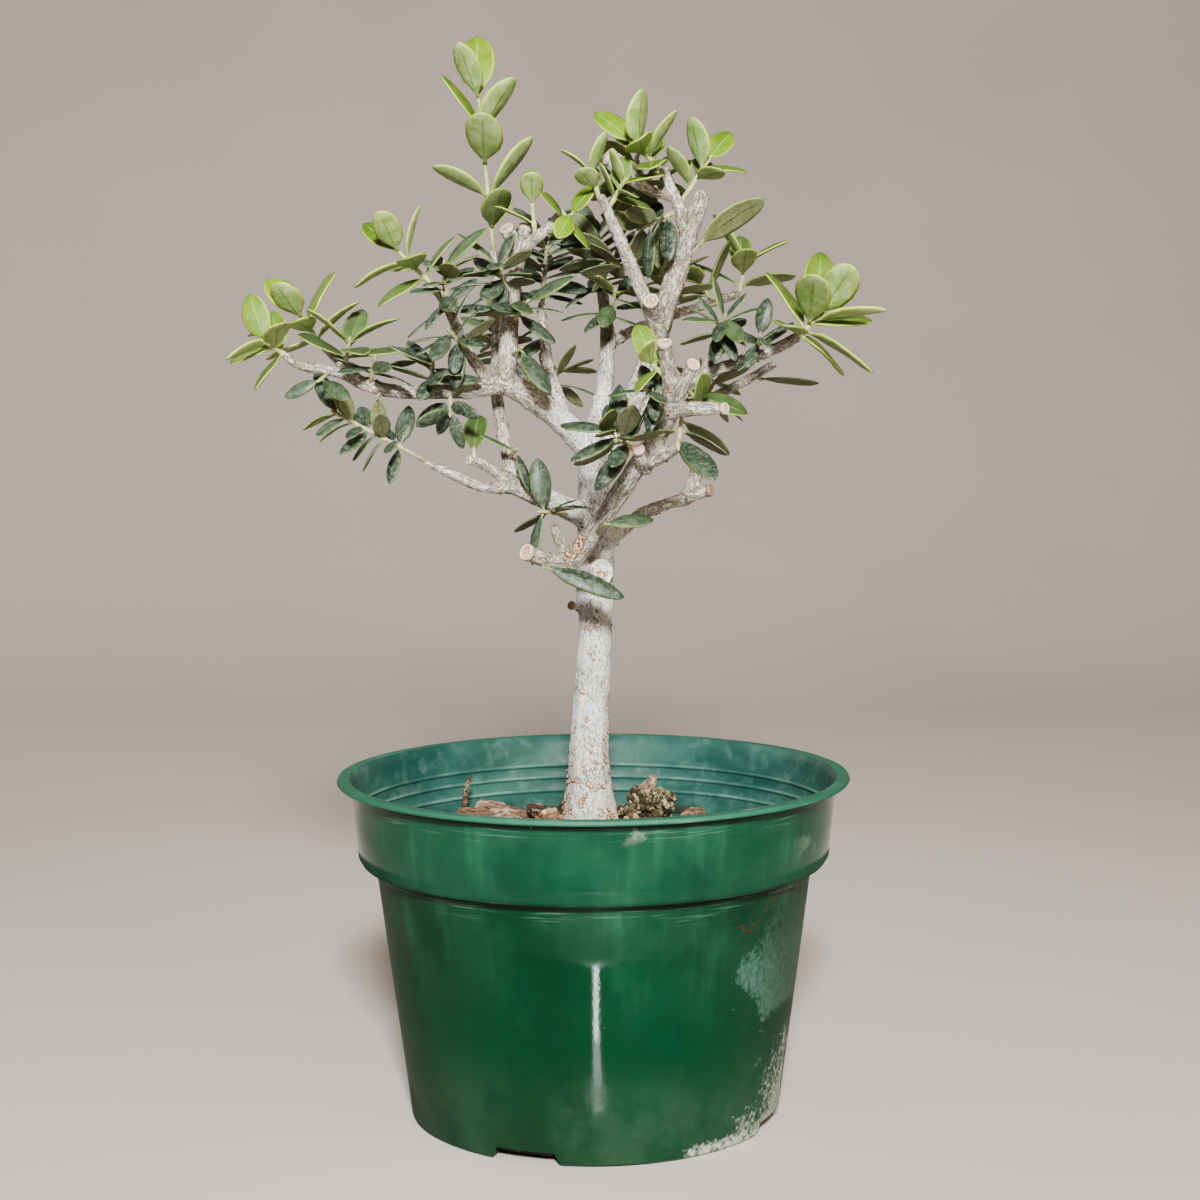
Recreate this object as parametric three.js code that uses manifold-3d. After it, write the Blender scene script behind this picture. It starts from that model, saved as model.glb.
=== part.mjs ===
// Small-leaved olive, pruned as a bonsai, standing in a 6 inch plastic nursery pot.
// Millimetres, +Z up. The origin is the centre of the pot's underside, and -Y is the front.
import * as THREE from 'three';
import { mergeGeometries, mergeVertices } from 'three/addons/utils/BufferGeometryUtils.js';
import Module from 'manifold-3d';

const wasm = await Module();
wasm.setup();

// ---- driving dimensions ----
const rimRadius = 82.5;            // outside of the flange
const potHeight = 110.65;
const flangeThick = 1.5;
const flangeWidth = 4.4;
const bandHeight = 26;             // collar band under the flange
const bandStep = 4.2;              // how far the band stands out from the body
const baseRadius = 59.8;
const wallThick = 1.3;
const floorThick = 1.8;
const potSides = 48;
const notchAngles = [-21, 69, 159, 249];   // degrees from the front, towards +X
const notchWidth = 24;
const notchTopWidth = 19;
const notchHeight = 4.2;
const nickAngle = 50;              // small chip out of the flange
const clearance = 0.3;             // between pieces that touch
const mixEdgeHeight = 84.2;        // potting mix at the wall
const mixMound = 9;                // how much higher it stands round the trunk
const mixSides = potSides / 2;
const mixRelief = 0.9;             // unevenness of its surface
const stemRootRadius = 1.2;
const stemTipRadius = 0.8;
const stemOver = 1.1;              // stem beyond its last node
const bladeThick = 0.65;
const bladeMargin = 0.45;          // air kept round every blade
const leastLean = 38;              // of a blade from its stem, in degrees
const youngLean = 24;              // the same on a young shoot
const twistLimit = 70;             // of a blade that turns its upper side to the sky, in degrees
const swingLimit = 48;             // of a blade to the side of the stem's face that it grows from

// ---- wood: centre line points with their radius, [x, y, z, radius], from root to end ----
const limbs = {
  trunk: [[-1, 0, 67, 9], [-1, 0, 86.6, 10.6], [-1, 0, 93.2, 9.7], [-1.2, 0, 100, 8.5],
    [-1.4, 0, 107.7, 7.3], [-1.4, 0, 117.5, 6.5], [-0.9, 0, 129.5, 6], [0.1, 0, 142.5, 5.7],
    [0.9, 0, 154, 5.4], [0.9, 0, 164.2, 5.7], [0.9, 0, 173.3, 6.3], [0.9, 0, 182.3, 6.1],
    [1.2, 0, 192.5, 5.4], [0.9, 0, 202, 5.1], [0, 0, 212.3, 4.9], [-1, 1, 220.6, 4.3]],
  scar: [[1.2, 0, 175.2, 5.2], [2.2, -5, 175.9, 5.2], [2.8, -7.5, 176.2, 4]],
  knob: [[-0.7, 0, 163.3, 1.9], [-4.2, -2, 164.4, 1.8], [-6.8, -4, 165.6, 1.3]],
  centreBack: [[-0.4, 0, 216.2, 3.9], [1.9, 6, 224.3, 3.4], [4.5, 14, 234.5, 2.9], [5.5, 20, 246, 2.7],
    [5.2, 26, 256, 2.4], [3.9, 31, 266, 2]],
  leftMain: [[0.6, 0, 213, 4.3], [-5.8, -1, 221, 4.2], [-15, -3, 229, 4], [-22.8, -4, 234.3, 3.9],
    [-28.5, -5, 236.8, 3.7]],
  farLeft: [[-27.2, -5, 236, 3], [-33, -6, 235, 2.8], [-40.4, -8, 234, 2.6], [-47.8, -9, 233.7, 2.5],
    [-56, -11, 233.7, 2.4], [-64, -12, 234.4, 2.3], [-71.3, -13, 236.6, 2.3], [-75, -14, 239, 2.1]],
  farLeftUpper: [[-72, -13, 237, 2], [-77, -12, 242, 1.9], [-80.5, -11, 246, 1.7],
    [-84.7, -10, 249, 1.4]],
  farLeftLower: [[-73, -14, 238, 2.1], [-79, -17, 240.3, 1.9], [-84.8, -20, 241, 1.8],
    [-90, -23, 242.5, 1.7], [-94, -25, 245.5, 1.4]],
  leftUpright: [[-28, -5, 236, 3.5], [-26.3, -5, 243, 3.3], [-25.6, -4, 250, 3.2], [-25.3, -3, 257.6, 3],
    [-24.7, -3, 265.4, 2.9], [-23.4, -3, 273, 2.8], [-22.4, -3, 280, 2.8]],
  uprightStubA: [[-22.8, -3, 276.7, 2.3], [-24.3, -4, 281, 2.4], [-26.1, -6, 284.6, 2.3]],
  uprightStubB: [[-22.7, -3, 277.3, 2.2], [-21.5, -1, 281, 2.3], [-20.3, 0, 285.3, 2.2]],
  uprightSide: [[-23, -3, 276.7, 2.3], [-18.3, -4, 280.7, 2.2], [-14.5, -5, 283.4, 2],
    [-11, -6, 286.5, 1.9], [-7.9, -7, 289.8, 1.9]],
  leftTwig: [[-31, -6, 235.3, 2], [-35, -9, 241, 1.9], [-38.8, -12, 247, 1.7], [-42.4, -14, 255.2, 1.6],
    [-45, -15, 261.6, 1.5], [-50, -16, 267.4, 1.3]],
  backLeft: [[-7, 2, 221.2, 2.4], [-9.7, 9, 229.4, 2.2], [-13.7, 17, 240.3, 2], [-15.5, 24, 251.7, 1.8],
    [-16.2, 30, 262.2, 1.5]],
  behindUpright: [[-25, -3, 204.5, 2.6], [-26.5, 0, 213.3, 2.3], [-28.6, 4, 222.7, 2.2],
    [-30.3, 8, 231.3, 2.2], [-30.3, 10, 241, 2.1], [-30, 11, 253, 1.9], [-30, 12, 266, 1.8],
    [-31, 12, 279.3, 1.5]],
  lowLeft: [[1.9, -1, 190.7, 4.2], [-4.8, -3, 195, 3.7], [-12.8, -4, 198.8, 3.5], [-19.8, -4, 202, 3.5],
    [-25.4, -5, 204, 2.9], [-30, -6, 203, 1.9], [-35, -6, 203.7, 1.8], [-40.6, -7, 206, 1.7],
    [-47.4, -8, 209.2, 1.5], [-53, -9, 212.4, 1.2]],
  lowStub: [[-24.8, -5, 205, 2], [-29.8, -6, 208, 1.8], [-34.8, -7, 211.3, 1.6], [-38.6, -8, 212.3, 1.5]],
  rightUpright: [[0.9, 1, 206, 4], [5.1, 5, 215.4, 3.8], [11.5, 8, 226.8, 3.7], [16.6, 6, 237.7, 3.7],
    [20, 3, 248, 3.7], [22.2, 1, 255.5, 3.8], [25, 0, 263.6, 3.7], [27.8, -1, 271.7, 3.6],
    [30, -2, 278.3, 3.2], [32, -3, 284.8, 2.9], [34.2, -4, 291.2, 2.6], [35.7, -5, 296, 2.5]],
  frontDiagonal: [[21.8, 0, 253, 2.7], [18.6, -3, 259.5, 2.6], [15.3, -6, 267.2, 2.4],
    [12.4, -9, 274, 2.3], [9.3, -12, 281, 2], [6.1, -15, 288, 1.8], [3.3, -17, 294, 1.5]],
  forkStub: [[22.1, 0, 255.4, 2.6], [20.4, -4, 258.8, 2.5], [19, -9, 261.8, 2.4]],
  topRightSide: [[31.2, -2, 281, 2.4], [28.5, -4, 289.7, 2.1], [25.6, -5, 296.4, 1.9],
    [23, -6, 303.2, 1.7]],
  crownStub: [[26.6, -4.6, 294, 1.6], [19.5, -6.5, 295.6, 1.6], [14, -8, 299, 2.2],
    [10, -9, 302.6, 3.6], [5.6, -10, 306.6, 3]],
  right: [[7.6, 6, 219.2, 2.9], [15.4, 9, 226.8, 2.6], [24.4, 8, 232.6, 2.3], [34.5, 4, 237.7, 2.1],
    [41.3, 1, 240.6, 2], [47.5, -1, 242.8, 2], [54.4, -3, 245, 1.9], [61.2, -4, 248, 1.9],
    [65.8, -5, 250.6, 1.7]],
  rightStub: [[34.5, 4, 237.7, 1.8], [38.6, 4, 244.4, 1.8], [44.6, 3, 248.8, 1.7]],
  rightLower: [[15.4, 9, 226.8, 2.2], [26, 17, 227.3, 2], [38, 22, 230.5, 1.8], [50.2, 25, 236, 1.6],
    [60.8, 27, 242, 1.5]],
  backStub: [[3.1, 2, 183.4, 3.3], [9.7, 10, 188.6, 2.5], [17.2, 16, 194, 2.1], [25, 20, 196.5, 2.1],
    [32, 23, 198.3, 2.5]],
  backStubUp: [[30.2, 22, 197.7, 2.2], [33.6, 24, 202.5, 2.5], [34.6, 25, 207, 2.2]],
  backStubEnd: [[30.2, 22, 198, 2], [35.5, 22, 199.7, 2], [39, 21, 200.7, 2]],
  front: [[1.2, 0, 170.7, 4.6], [-3.2, -8, 176.5, 3.9], [-6, -14, 180.8, 3.6], [-1.3, -19, 187.2, 3.2],
    [3.3, -24, 194, 3.1], [8.8, -31, 202.8, 3.1], [14.2, -38, 211.4, 3.2], [19, -45, 219.4, 3.4],
    [22.5, -51, 226, 3.4], [24.4, -56, 231, 3]],
  frontStubLeft: [[-3.8, -12, 178.8, 3.2], [-9.5, -17, 180.5, 2.9], [-14.7, -21, 181.7, 2.7],
    [-20.2, -26, 184.3, 2.5]],
  frontStubUp: [[23.9, -54, 229.2, 2.8], [23.4, -60, 236, 2.5], [22.3, -64, 242.7, 2.4],
    [21.6, -67, 248, 2.2]],
  frontStubMid: [[24.4, -55, 229.8, 2.3], [27.4, -61, 236.3, 2.1], [30, -66, 241.8, 2]],
  frontStubRight: [[23.6, -54, 228, 2.5], [31, -60, 229, 2.2], [39.2, -65, 229, 1.7]],
  frontNubLeft: [[17, -39, 210.2, 2.3], [15.2, -45, 214, 2.3], [14.3, -48, 216.6, 1.9]],
  frontNubRight: [[18, -42, 212.7, 2.4], [22.7, -47, 215.3, 2.2], [26.7, -51, 217.6, 1.6]],
  frontTwig: [[-7, -15, 181, 2], [-9.8, -18, 186.5, 1.7], [-12.2, -20, 192.6, 1.4]],
  behindRight: [[5.5, 21, 248.4, 2], [16, 36, 254.2, 1.9], [29, 50, 259, 1.8], [41, 60, 262.7, 1.7],
    [51, 66, 266.3, 1.5]],
  behindLeft: [[0.3, 2, 208.4, 3], [-3.3, 16, 217.6, 2.6], [-10, 32, 227, 2.3], [-18.3, 46, 235.2, 2],
    [-26.4, 56, 242, 1.7]],
  behindMid: [[15.3, 7, 235.2, 2.6], [19.6, 24, 244.8, 2.2], [25.3, 40, 254.2, 1.9],
    [27, 52, 263.8, 1.6]],
};

// ---- leafy shoots: a green stem from a point on a limb's centre line, with opposite pairs of blades ----
// [root, tip, pairs, where the first pair sits along the stem, blade length, degrees that the first pair is
// turned out of the XZ plane, spread from the stem of the lowest and of the last pair, youth from 0 to 1,
// and 1 where a node carries a single blade]
const shoots = {
  crownLeader: [[-31, 12, 278], [-35, 6, 326], 5, 0.155, 20.5, 90, 48, 24, 0.75],
  stubShoot: [[-17, -4.6, 281], [-18, -6, 292], 2, 0.45, 12.5, 0, 58, 22, 0.85],
  armShoot: [[-10, -6, 287], [-6, -14, 288], 2, 0.5, 12, 45, 65, 45, 0.8],
  leftTwigTip: [[-49, -16, 267], [-59, -18, 277], 4, 0.2, 16, 20, 72, 42, 0.7],
  leftTwigUpper: [[-45, -15, 261], [-45, -18, 272], 3, 0.35, 15, 20, 70, 38, 0.3],
  leftTwigMiddle: [[-43, -14, 256], [-45, -22, 263], 2, 0.45, 14, 0, 80, 62, 0.2],
  leftTwigLower: [[-39, -12, 247], [-43, -22, 252], 3, 0.35, 13.5, 30, 78, 50, 0.15],
  uprightLeft: [[-25, -3, 264], [-29, -12, 273], 4, 0.3, 14, 10, 80, 50, 0.2],
  uprightRight: [[-25, -3, 255], [-20, -13, 261], 2, 0.45, 17, 5, 62, 45, 0.2],
  uprightLow: [[-26, -4, 244], [-22, -12, 247], 1, 1, 19, 0, 62, 62, 0.2],
  backLeftTip: [[-16, 29, 261], [-14, 26, 283], 6, 0.15, 15, 40, 78, 40, 0.15],
  centreTip: [[4, 31, 264], [1, 24, 284], 6, 0.15, 15.5, 10, 80, 42, 0.15],
  centreFront: [[5, 24, 253], [8, 12, 265], 3, 0.4, 15.5, 0, 80, 55, 0.3],
  diagonalTip: [[3, -16.4, 293], [1, -18, 300], 2, 0.45, 12.5, 85, 50, 18, 0.8],
  diagonalYoung: [[6, -15, 290], [10, -19, 297], 3, 0.4, 12, 20, 60, 35, 0.7],
  sideTip: [[22, -6, 303], [14, -10, 310], 5, 0.25, 18.5, 85, 74, 27, 0.8],
  sideBack: [[25, -5, 298], [13, 10, 301], 5, 0.3, 15, 60, 78, 48, 0.4],
  sideLow: [[28, -4, 290], [17, -2, 285], 4, 0.3, 15.5, 30, 78, 50, 0.15],
  rightTip: [[29, -4, 293], [37, -5, 305], 4, 0.35, 15.5, 15, 70, 28, 0.7],
  bigPair: [[32, -3, 277], [34, 0.4, 279], 1, 1, 22.5, -90, 45, 45, 0.3, 1],
  behindRightTip: [[51, 66, 266], [53, 64, 276], 3, 0.25, 18, 0, 62, 25, 0.6],
  behindRightSide: [[42, 60, 262], [38, 58, 269], 2, 0.5, 17, 20, 60, 40, 0.5],
  rightRosette: [[38, 4, 244], [42, -8, 256], 4, 0.6, 13.5, 30, 84, 55, 0.3],
  rightTipSpray: [[65, -5, 250], [72, -7, 257], 5, 0.12, 23.5, 60, 75, 24, 0.8],
  rightMiddle: [[52, -3, 244], [53, -9, 250], 2, 0.5, 12.5, 30, 80, 50, 0.15],
  rightLowerTip: [[54, 25.75, 238], [56, 31, 237], 1, 1, 17, 180, 84, 84, 0.15, 1],
  behindFrontFork: [[31, 5.2, 234], [34, -8, 230], 2, 0.6, 15.5, 15, 64, 42, 0.62, 1],
  frontNubPair: [[26, -50, 217], [27, -50, 225], 2, 0.32, 21, -45, 101, 103, 0.2, 1],
  frontFan: [[15, -47, 215], [6, -50, 222], 4, 0.35, 16.5, 20, 78, 45, 0.15],
  frontLime: [[22, -61, 238], [18, -64, 242], 2, 0.6, 14, 45, 60, 35, 0.9],
  frontMiddle: [[21, -54, 231], [17, -58, 234], 2, 0.5, 12.5, 30, 80, 60, 0.2],
  lowLeftSpray: [[-7, -5, 195], [-15, -13, 196], 2, 0.6, 16.5, 90, 78, 74, 0.15],
  frontCross: [[1, -20, 189], [4, -33, 193], 1, 1, 14, 60, 80, 80, 0.2, 1],
  stubLeaf: [[-15, -21, 181], [-15, -28, 180], 1, 1, 24, 3, 84, 84, 0.2, 1],
  lowLeftTip: [[-52, -9, 212], [-79, -14, 227], 5, 0.3, 13.5, 45, 78, 42, 0.22],
  lowLeftRound: [[-37, -7.7, 212], [-37, -7.7, 214], 1, 1, 18, 90, 36, 36, 0.5, 1],
  behindUprightLow: [[-27, 0, 212], [-24, -8, 215], 1, 1, 12.5, 10, 75, 75, 0.15],
  diagonalBack: [[14, -7, 271], [4, 8, 276], 4, 0.35, 15, 45, 78, 50, 0.15],
  farLeftUpperTip: [[-84, -10, 248], [-90, -12, 257], 4, 0.25, 17, 10, 70, 36, 0.85],
  farLeftLowerTip: [[-93, -24, 245], [-99, -27, 249], 3, 0.25, 16, 40, 70, 36, 0.8],
  farLeftInner: [[-77, -12, 241], [-75, -17, 249], 3, 0.45, 17, 15, 62, 36, 0.55],
  farLeftMiddle: [[-69, -13, 236], [-67, -19, 243], 2, 0.5, 14, 10, 75, 55, 0.2],
  farLeftUpright: [[-50, -10, 234], [-49, -17, 242], 3, 0.4, 14.5, 20, 75, 45, 0.15],
  farLeftUnder: [[-81, -18, 240], [-83, -24, 238], 1, 1, 12.5, 0, 60, 60, 0.6],
  farLeftHanging: [[-65, -12, 234], [-66, -16, 233], 1, 1, 18, 90, 60, 60, 0.25, 1],
  farLeftDroop: [[-44, -9, 233], [-44, -13, 228], 2, 0.45, 12.5, 30, 50, 38, 0.15],
  behindLeftTip: [[-25, 55, 241], [-32, 64, 254], 5, 0.2, 15, 30, 75, 42, 0.3],
  behindMidTip: [[27, 51, 263], [26, 58, 277], 5, 0.2, 15, 0, 75, 35, 0.4],
  backLowLeft: [[-14, 40, 232], [-11, 52, 240], 3, 0.4, 14, 0, 75, 45, 0.2],
  backLowRight: [[37, 22, 230], [41, 36, 236], 3, 0.4, 14, 0, 75, 45, 0.2],
};

// ---- solids ----
function solidOf(geometry) {
  geometry.deleteAttribute('normal');
  geometry.deleteAttribute('uv');
  const merged = mergeVertices(geometry);
  return new wasm.Manifold(new wasm.Mesh({
    numProp: 3,
    vertProperties: new Float32Array(merged.attributes.position.array),
    triVerts: new Uint32Array(merged.index.array),
  }));
}

function geometryOf(solid) {
  const { vertProperties, triVerts } = solid.getMesh();
  const geometry = new THREE.BufferGeometry();
  geometry.setAttribute('position', new THREE.BufferAttribute(new Float32Array(vertProperties), 3));
  geometry.setIndex(new THREE.BufferAttribute(new Uint32Array(triVerts), 1));
  geometry.computeVertexNormals();
  return geometry;
}

function shaped(geometry, place) {
  const position = geometry.attributes.position;
  const point = new THREE.Vector3();
  for (let i = 0; i < position.count; i += 1) {
    place(point.fromBufferAttribute(position, i));
    position.setXYZ(i, point.x, point.y, point.z);
  }
  return geometry;
}

function seededDraw(seed) {
  let state = seed;
  return (low, high) => {
    state = (state * 16807) % 2147483647;
    return low + (high - low) * (state / 2147483647);
  };
}

// A closed tapered tube: one ring of the cylinder at each [x, y, z, radius] point.
function tubeSolid(points, sides, swell = 0) {
  const last = points.length - 1;
  const centres = points.map(([x, y, z]) => new THREE.Vector3(x, y, z));
  const up = new THREE.Vector3(0.31, 0.83, 0.46);
  const rings = centres.map((centre, i) => {
    const along = centres[Math.min(i + 1, last)].clone().sub(centres[Math.max(i - 1, 0)]).normalize();
    up.addScaledVector(along, -up.dot(along)).normalize();
    const ends = (i === 0 ? -swell : 0) + (i === last ? swell : 0);
    return {
      centre: centre.clone().addScaledVector(along, ends),
      up: up.clone(),
      across: along.clone().cross(up),
      radius: points[i][3] + swell,
    };
  });
  return solidOf(shaped(new THREE.CylinderGeometry(1, 1, 1, sides, last), (point) => {
    const { centre, up: ringUp, across, radius } = rings[Math.round((point.y + 0.5) * last)];
    const { x, z } = point;
    point.copy(centre).addScaledVector(across, x * radius).addScaledVector(ringUp, z * radius);
  }));
}

function joined(solids) {
  return solids.reduce((whole, solid) => whole.add(solid));
}

// ---- pot ----
function potProfile() {
  const bandTop = potHeight - flangeThick;
  const bandLow = bandTop - bandHeight + 1;
  const bodyTop = baseRadius + 10.7;
  const bandRadius = rimRadius - flangeWidth;
  const lipRadius = bodyTop + bandStep;
  const outer = [[0, 0], [baseRadius - 0.9, 0], [baseRadius, 0.9], [bodyTop, bandLow - 0.6],
    [lipRadius, bandLow - 0.5], [lipRadius + 1.2, bandLow + 1.5], [bandRadius, bandTop - 0.4],
    [rimRadius - 0.4, bandTop], [rimRadius, bandTop + 0.5], [rimRadius - 0.4, potHeight]];
  const inner = [[bandRadius + 0.4, potHeight], [bandRadius - wallThick, bandTop - 1],
    [lipRadius - 0.1, bandLow + 1.9], [lipRadius - 1.4, bandLow + 0.8], [bodyTop - wallThick, bandLow + 0.7],
    [baseRadius - wallThick, floorThick], [0, floorThick]];
  return [...outer, ...inner];
}

function lathed(profile, sides) {
  const points = profile.map(([radius, height]) => new THREE.Vector2(radius, height));
  return new THREE.LatheGeometry(points, sides).rotateX(Math.PI / 2);
}

function radialCut(shape, degrees, radius, depth) {
  const angle = THREE.MathUtils.degToRad(degrees);
  const block = new THREE.ExtrudeGeometry(shape, { depth, bevelEnabled: false });
  block.rotateX(Math.PI / 2).translate(0, -radius, 0).rotateZ(angle);
  return solidOf(block);
}

function potSolid() {
  const notch = new THREE.Shape([[-notchWidth, -1], [notchWidth, -1], [notchTopWidth, notchHeight],
    [-notchTopWidth, notchHeight]].map(([x, y]) => new THREE.Vector2(x / 2, y)));
  const nick = new THREE.Shape([[-1.2, potHeight + 1], [0.2, potHeight - 0.9], [1.4, potHeight + 1]]
    .map(([x, y]) => new THREE.Vector2(x, y)));
  let pot = solidOf(lathed(potProfile(), potSides));
  for (const degrees of notchAngles) pot = pot.subtract(radialCut(notch, degrees, baseRadius - 9, 14));
  return pot.subtract(radialCut(nick, nickAngle, rimRadius - 2.2, 5));
}

// ---- potting mix and what lies on it ----
function mixTop(radius) {
  return mixEdgeHeight + mixMound * (1 - radius / 69) ** 1.2;
}

function mixSolid(lift = 0) {
  const topRadii = [60, 48, 36, 26, 16, 8];
  const wall = 68.7;
  const profile = [[0, floorThick + clearance], [baseRadius - wallThick - 1.2, floorThick + clearance],
    [baseRadius - wallThick - 0.3, floorThick + 1.4], [wall, mixEdgeHeight + lift],
    ...topRadii.map((radius) => [radius, mixTop(radius) + lift]), [0, mixTop(0) + lift]];
  return solidOf(shaped(lathed(profile, mixSides), (point) => {
    const radius = Math.hypot(point.x, point.y);
    if (point.z < mixEdgeHeight - 5 || radius > wall - 1) return;
    const short = Math.sin(point.x * 0.31 + 1) * Math.cos(point.y * 0.27);
    const long = Math.sin(point.x * 0.13 - point.y * 0.17);
    point.z += mixRelief * (short + long) * Math.min(1, radius / 8);
  }));
}

// [x, y, z, length, width, thickness, heading, pitch, roll] with the angles in degrees
const barkChips = {
  long: [-33, 20, 92.8, 25, 9, 3, 4, -3, 24],
  leaning: [-34, 37, 91, 13, 7, 3, -6, -24, 60],
  sliver: [-44, 46, 94, 17, 3, 1.6, 0, 82, 10],
  dark: [-16.5, 16, 94.6, 12, 7, 2.6, 8, -24, 10],
  upright: [18, 31, 96.5, 16, 8, 3, 20, 76, 0],
  rear: [34, 42, 88.2, 10, 7, 4, 35, 8, 0],
};

function chipSolid([x, y, z, length, width, thick, heading, pitch, roll], draw) {
  const chip = shaped(new THREE.BoxGeometry(length, width, thick, 3, 1, 1), (point) => {
    const end = Math.abs(point.x) / (length / 2);
    const taper = 1 - 0.45 * end ** 3;
    point.y = point.y * taper + 0.8 * Math.sin(point.x * 0.4);
    point.z = point.z * taper + 0.5 * Math.cos(point.x * 0.35);
  });
  chip.rotateX(THREE.MathUtils.degToRad(roll)).rotateY(-THREE.MathUtils.degToRad(pitch));
  chip.rotateZ(THREE.MathUtils.degToRad(heading + draw(-3, 3)));
  return solidOf(chip.translate(x, y, z));
}

function clumpSolid(draw) {
  const centre = new THREE.Vector3(18, 8, 96);
  const reach = new THREE.Vector3(8.4, 7, 6);
  const crumbs = [solidOf(new THREE.IcosahedronGeometry(1, 0).scale(7.6, 6.2, 5.4)
    .translate(centre.x, centre.y, centre.z))];
  for (let i = 0; i < 10; i += 1) {
    const angle = i * 2.4 + draw(-0.4, 0.4);
    const height = draw(-0.2, 1);
    const out = Math.sqrt(Math.max(0, 1 - height * height)) * draw(0.8, 1);
    const crumb = new THREE.IcosahedronGeometry(draw(2.2, 3.4), 0).rotateX(draw(0, 3)).rotateY(draw(0, 3));
    crumb.translate(centre.x + reach.x * out * Math.cos(angle), centre.y + reach.y * out * Math.sin(angle),
      centre.z + reach.z * height);
    crumbs.push(solidOf(crumb));
  }
  return joined(crumbs);
}

// ---- wood ----
function woodSolid(swell = 0) {
  return joined(Object.entries(limbs).map(([name, points]) => {
    const sides = name === 'trunk' ? 9 : 6;
    return tubeSolid(points, sides, swell);
  }));
}

// ---- leafy shoots ----
const stations = [0, 0.3, 0.74, 1];           // along a blade
const halfWidths = [0.05, 0.45, 0.47, 0.17];  // times the blade's width
// Turns and leans tried in this order, in degrees, until a blade is clear of everything round it.
const detours = [[0, 0], [16, 0], [-16, 0], [0, -14], [0, 14], [30, -10], [-30, -10], [44, 8], [-44, 8]];

// The stem's frame: along the stem, away from the front, and across.
function stemFrame(from, to) {
  const along = to.clone().sub(from).normalize();
  const helper = Math.abs(along.y) > 0.9 ? new THREE.Vector3(0, 0, 1) : new THREE.Vector3(0, 1, 0);
  const away = helper.addScaledVector(along, -helper.dot(along)).normalize();
  return { along, away, aside: away.clone().cross(along) };
}

function outward({ aside, away }, degrees) {
  const angle = THREE.MathUtils.degToRad(degrees);
  return aside.clone().multiplyScalar(Math.cos(angle)).addScaledVector(away, Math.sin(angle));
}

function readShoot([from, to, pairs, first, leaf, turn, lowSpread, topSpread, youth, perNode = 2]) {
  const start = new THREE.Vector3(...from);
  const end = new THREE.Vector3(...to);
  const frame = stemFrame(start, end);
  const length = start.distanceTo(end);
  const ringAt = (distance) => ({
    centre: start.clone().addScaledVector(frame.along, distance),
    radius: THREE.MathUtils.lerp(stemRootRadius, stemTipRadius, distance / (length + stemOver)),
  });
  const nodes = [];
  const rings = [ringAt(0)];
  for (let pair = 0; pair < pairs; pair += 1) {
    const share = pairs === 1 ? 1 : pair / (pairs - 1);
    const distance = length * (first + (1 - first) * share);
    const spread = lowSpread + (topSpread - lowSpread) * share;
    const stalk = Math.min(0.36 / Math.sin(THREE.MathUtils.degToRad(spread)), 0.75);
    nodes.push({ root: ringAt(distance).centre, spread });
    rings.push(ringAt(distance - stalk), ringAt(distance + stalk));
  }
  rings.push(ringAt(length + stemOver));
  return { nodes, rings, leaf, turn, youth, perNode, frame };
}

function stemCorner({ rings, frame, turn }, ring, corner, swell = 0) {
  const { centre, radius } = rings[ring];
  return centre.clone().addScaledVector(outward(frame, turn - 45 + 90 * corner), radius + swell);
}

// The four-sided stem, less the faces that the blades grow out of.
function stemGeometry(shoot, grown, swell = 0) {
  const last = shoot.rings.length - 1;
  const stem = shaped(new THREE.CylinderGeometry(1, 1, 1, 4, last), (point) => {
    const ring = Math.round((point.y + 0.5) * last);
    const corner = Math.round(Math.atan2(point.x, point.z) / (Math.PI / 2));
    const onAxis = Math.hypot(point.x, point.z) < 0.5;
    point.copy(onAxis ? shoot.rings[ring].centre : stemCorner(shoot, ring, corner, swell));
  });
  return withoutQuads(stem, grown.map(({ pair, face }) => face * last + last - 2 - 2 * pair));
}

function withoutQuads(geometry, quads) {
  geometry.setIndex([...geometry.index.array].filter((_, i) => !quads.includes(Math.floor(i / 6))));
  return geometry;
}

function bladePoint({ root, along, upper, length, width, bend }, reach, rise, side) {
  const angle = bend * reach;
  const radius = length / bend;
  return root.clone()
    .addScaledVector(along, (radius + rise) * Math.sin(angle))
    .addScaledVector(upper, rise * Math.cos(angle) - radius * (1 - Math.cos(angle)))
    .addScaledVector(along.clone().cross(upper), side * width);
}

// A closed blade, thicker and wider by a margin, that shows where another may not go.
function bladeRoom(blade, swell, from) {
  return solidOf(shaped(new THREE.BoxGeometry(1, 1, 1, 3, 1, 1), (point) => {
    const station = Math.round((point.x + 0.5) * 3);
    const reach = Math.max(stations[station], from) + (station === 3 ? swell / blade.length : 0);
    const side = 2 * point.z * (halfWidths[station] + swell / blade.width);
    point.copy(bladePoint(blade, reach, 2 * point.y * (bladeThick / 2 + swell), side));
  }));
}

// A blade that grows out of the stem's face. Its two sides are split into triangles alike.
function bladeGeometry(blade, shoot, pair, face) {
  const box = new THREE.BoxGeometry(1, 1, 1, 3, 1, 1);
  const order = box.index.array;
  for (let quad = 5; quad <= 7; quad += 1) {
    const [a, b, d, , c] = order.slice(quad * 6, quad * 6 + 6);
    order.set([a, b, c, a, c, d], quad * 6);
  }
  return shaped(box, (point) => {
    const station = Math.round((point.x + 0.5) * 3);
    if (station === 0) {
      point.copy(stemCorner(shoot, 2 * pair + (point.y > 0 ? 2 : 1), face + (point.z > 0 ? 0 : 1)));
    } else {
      const side = 2 * point.z * halfWidths[station];
      point.copy(bladePoint(blade, stations[station], point.y * bladeThick, side));
    }
  });
}

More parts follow.
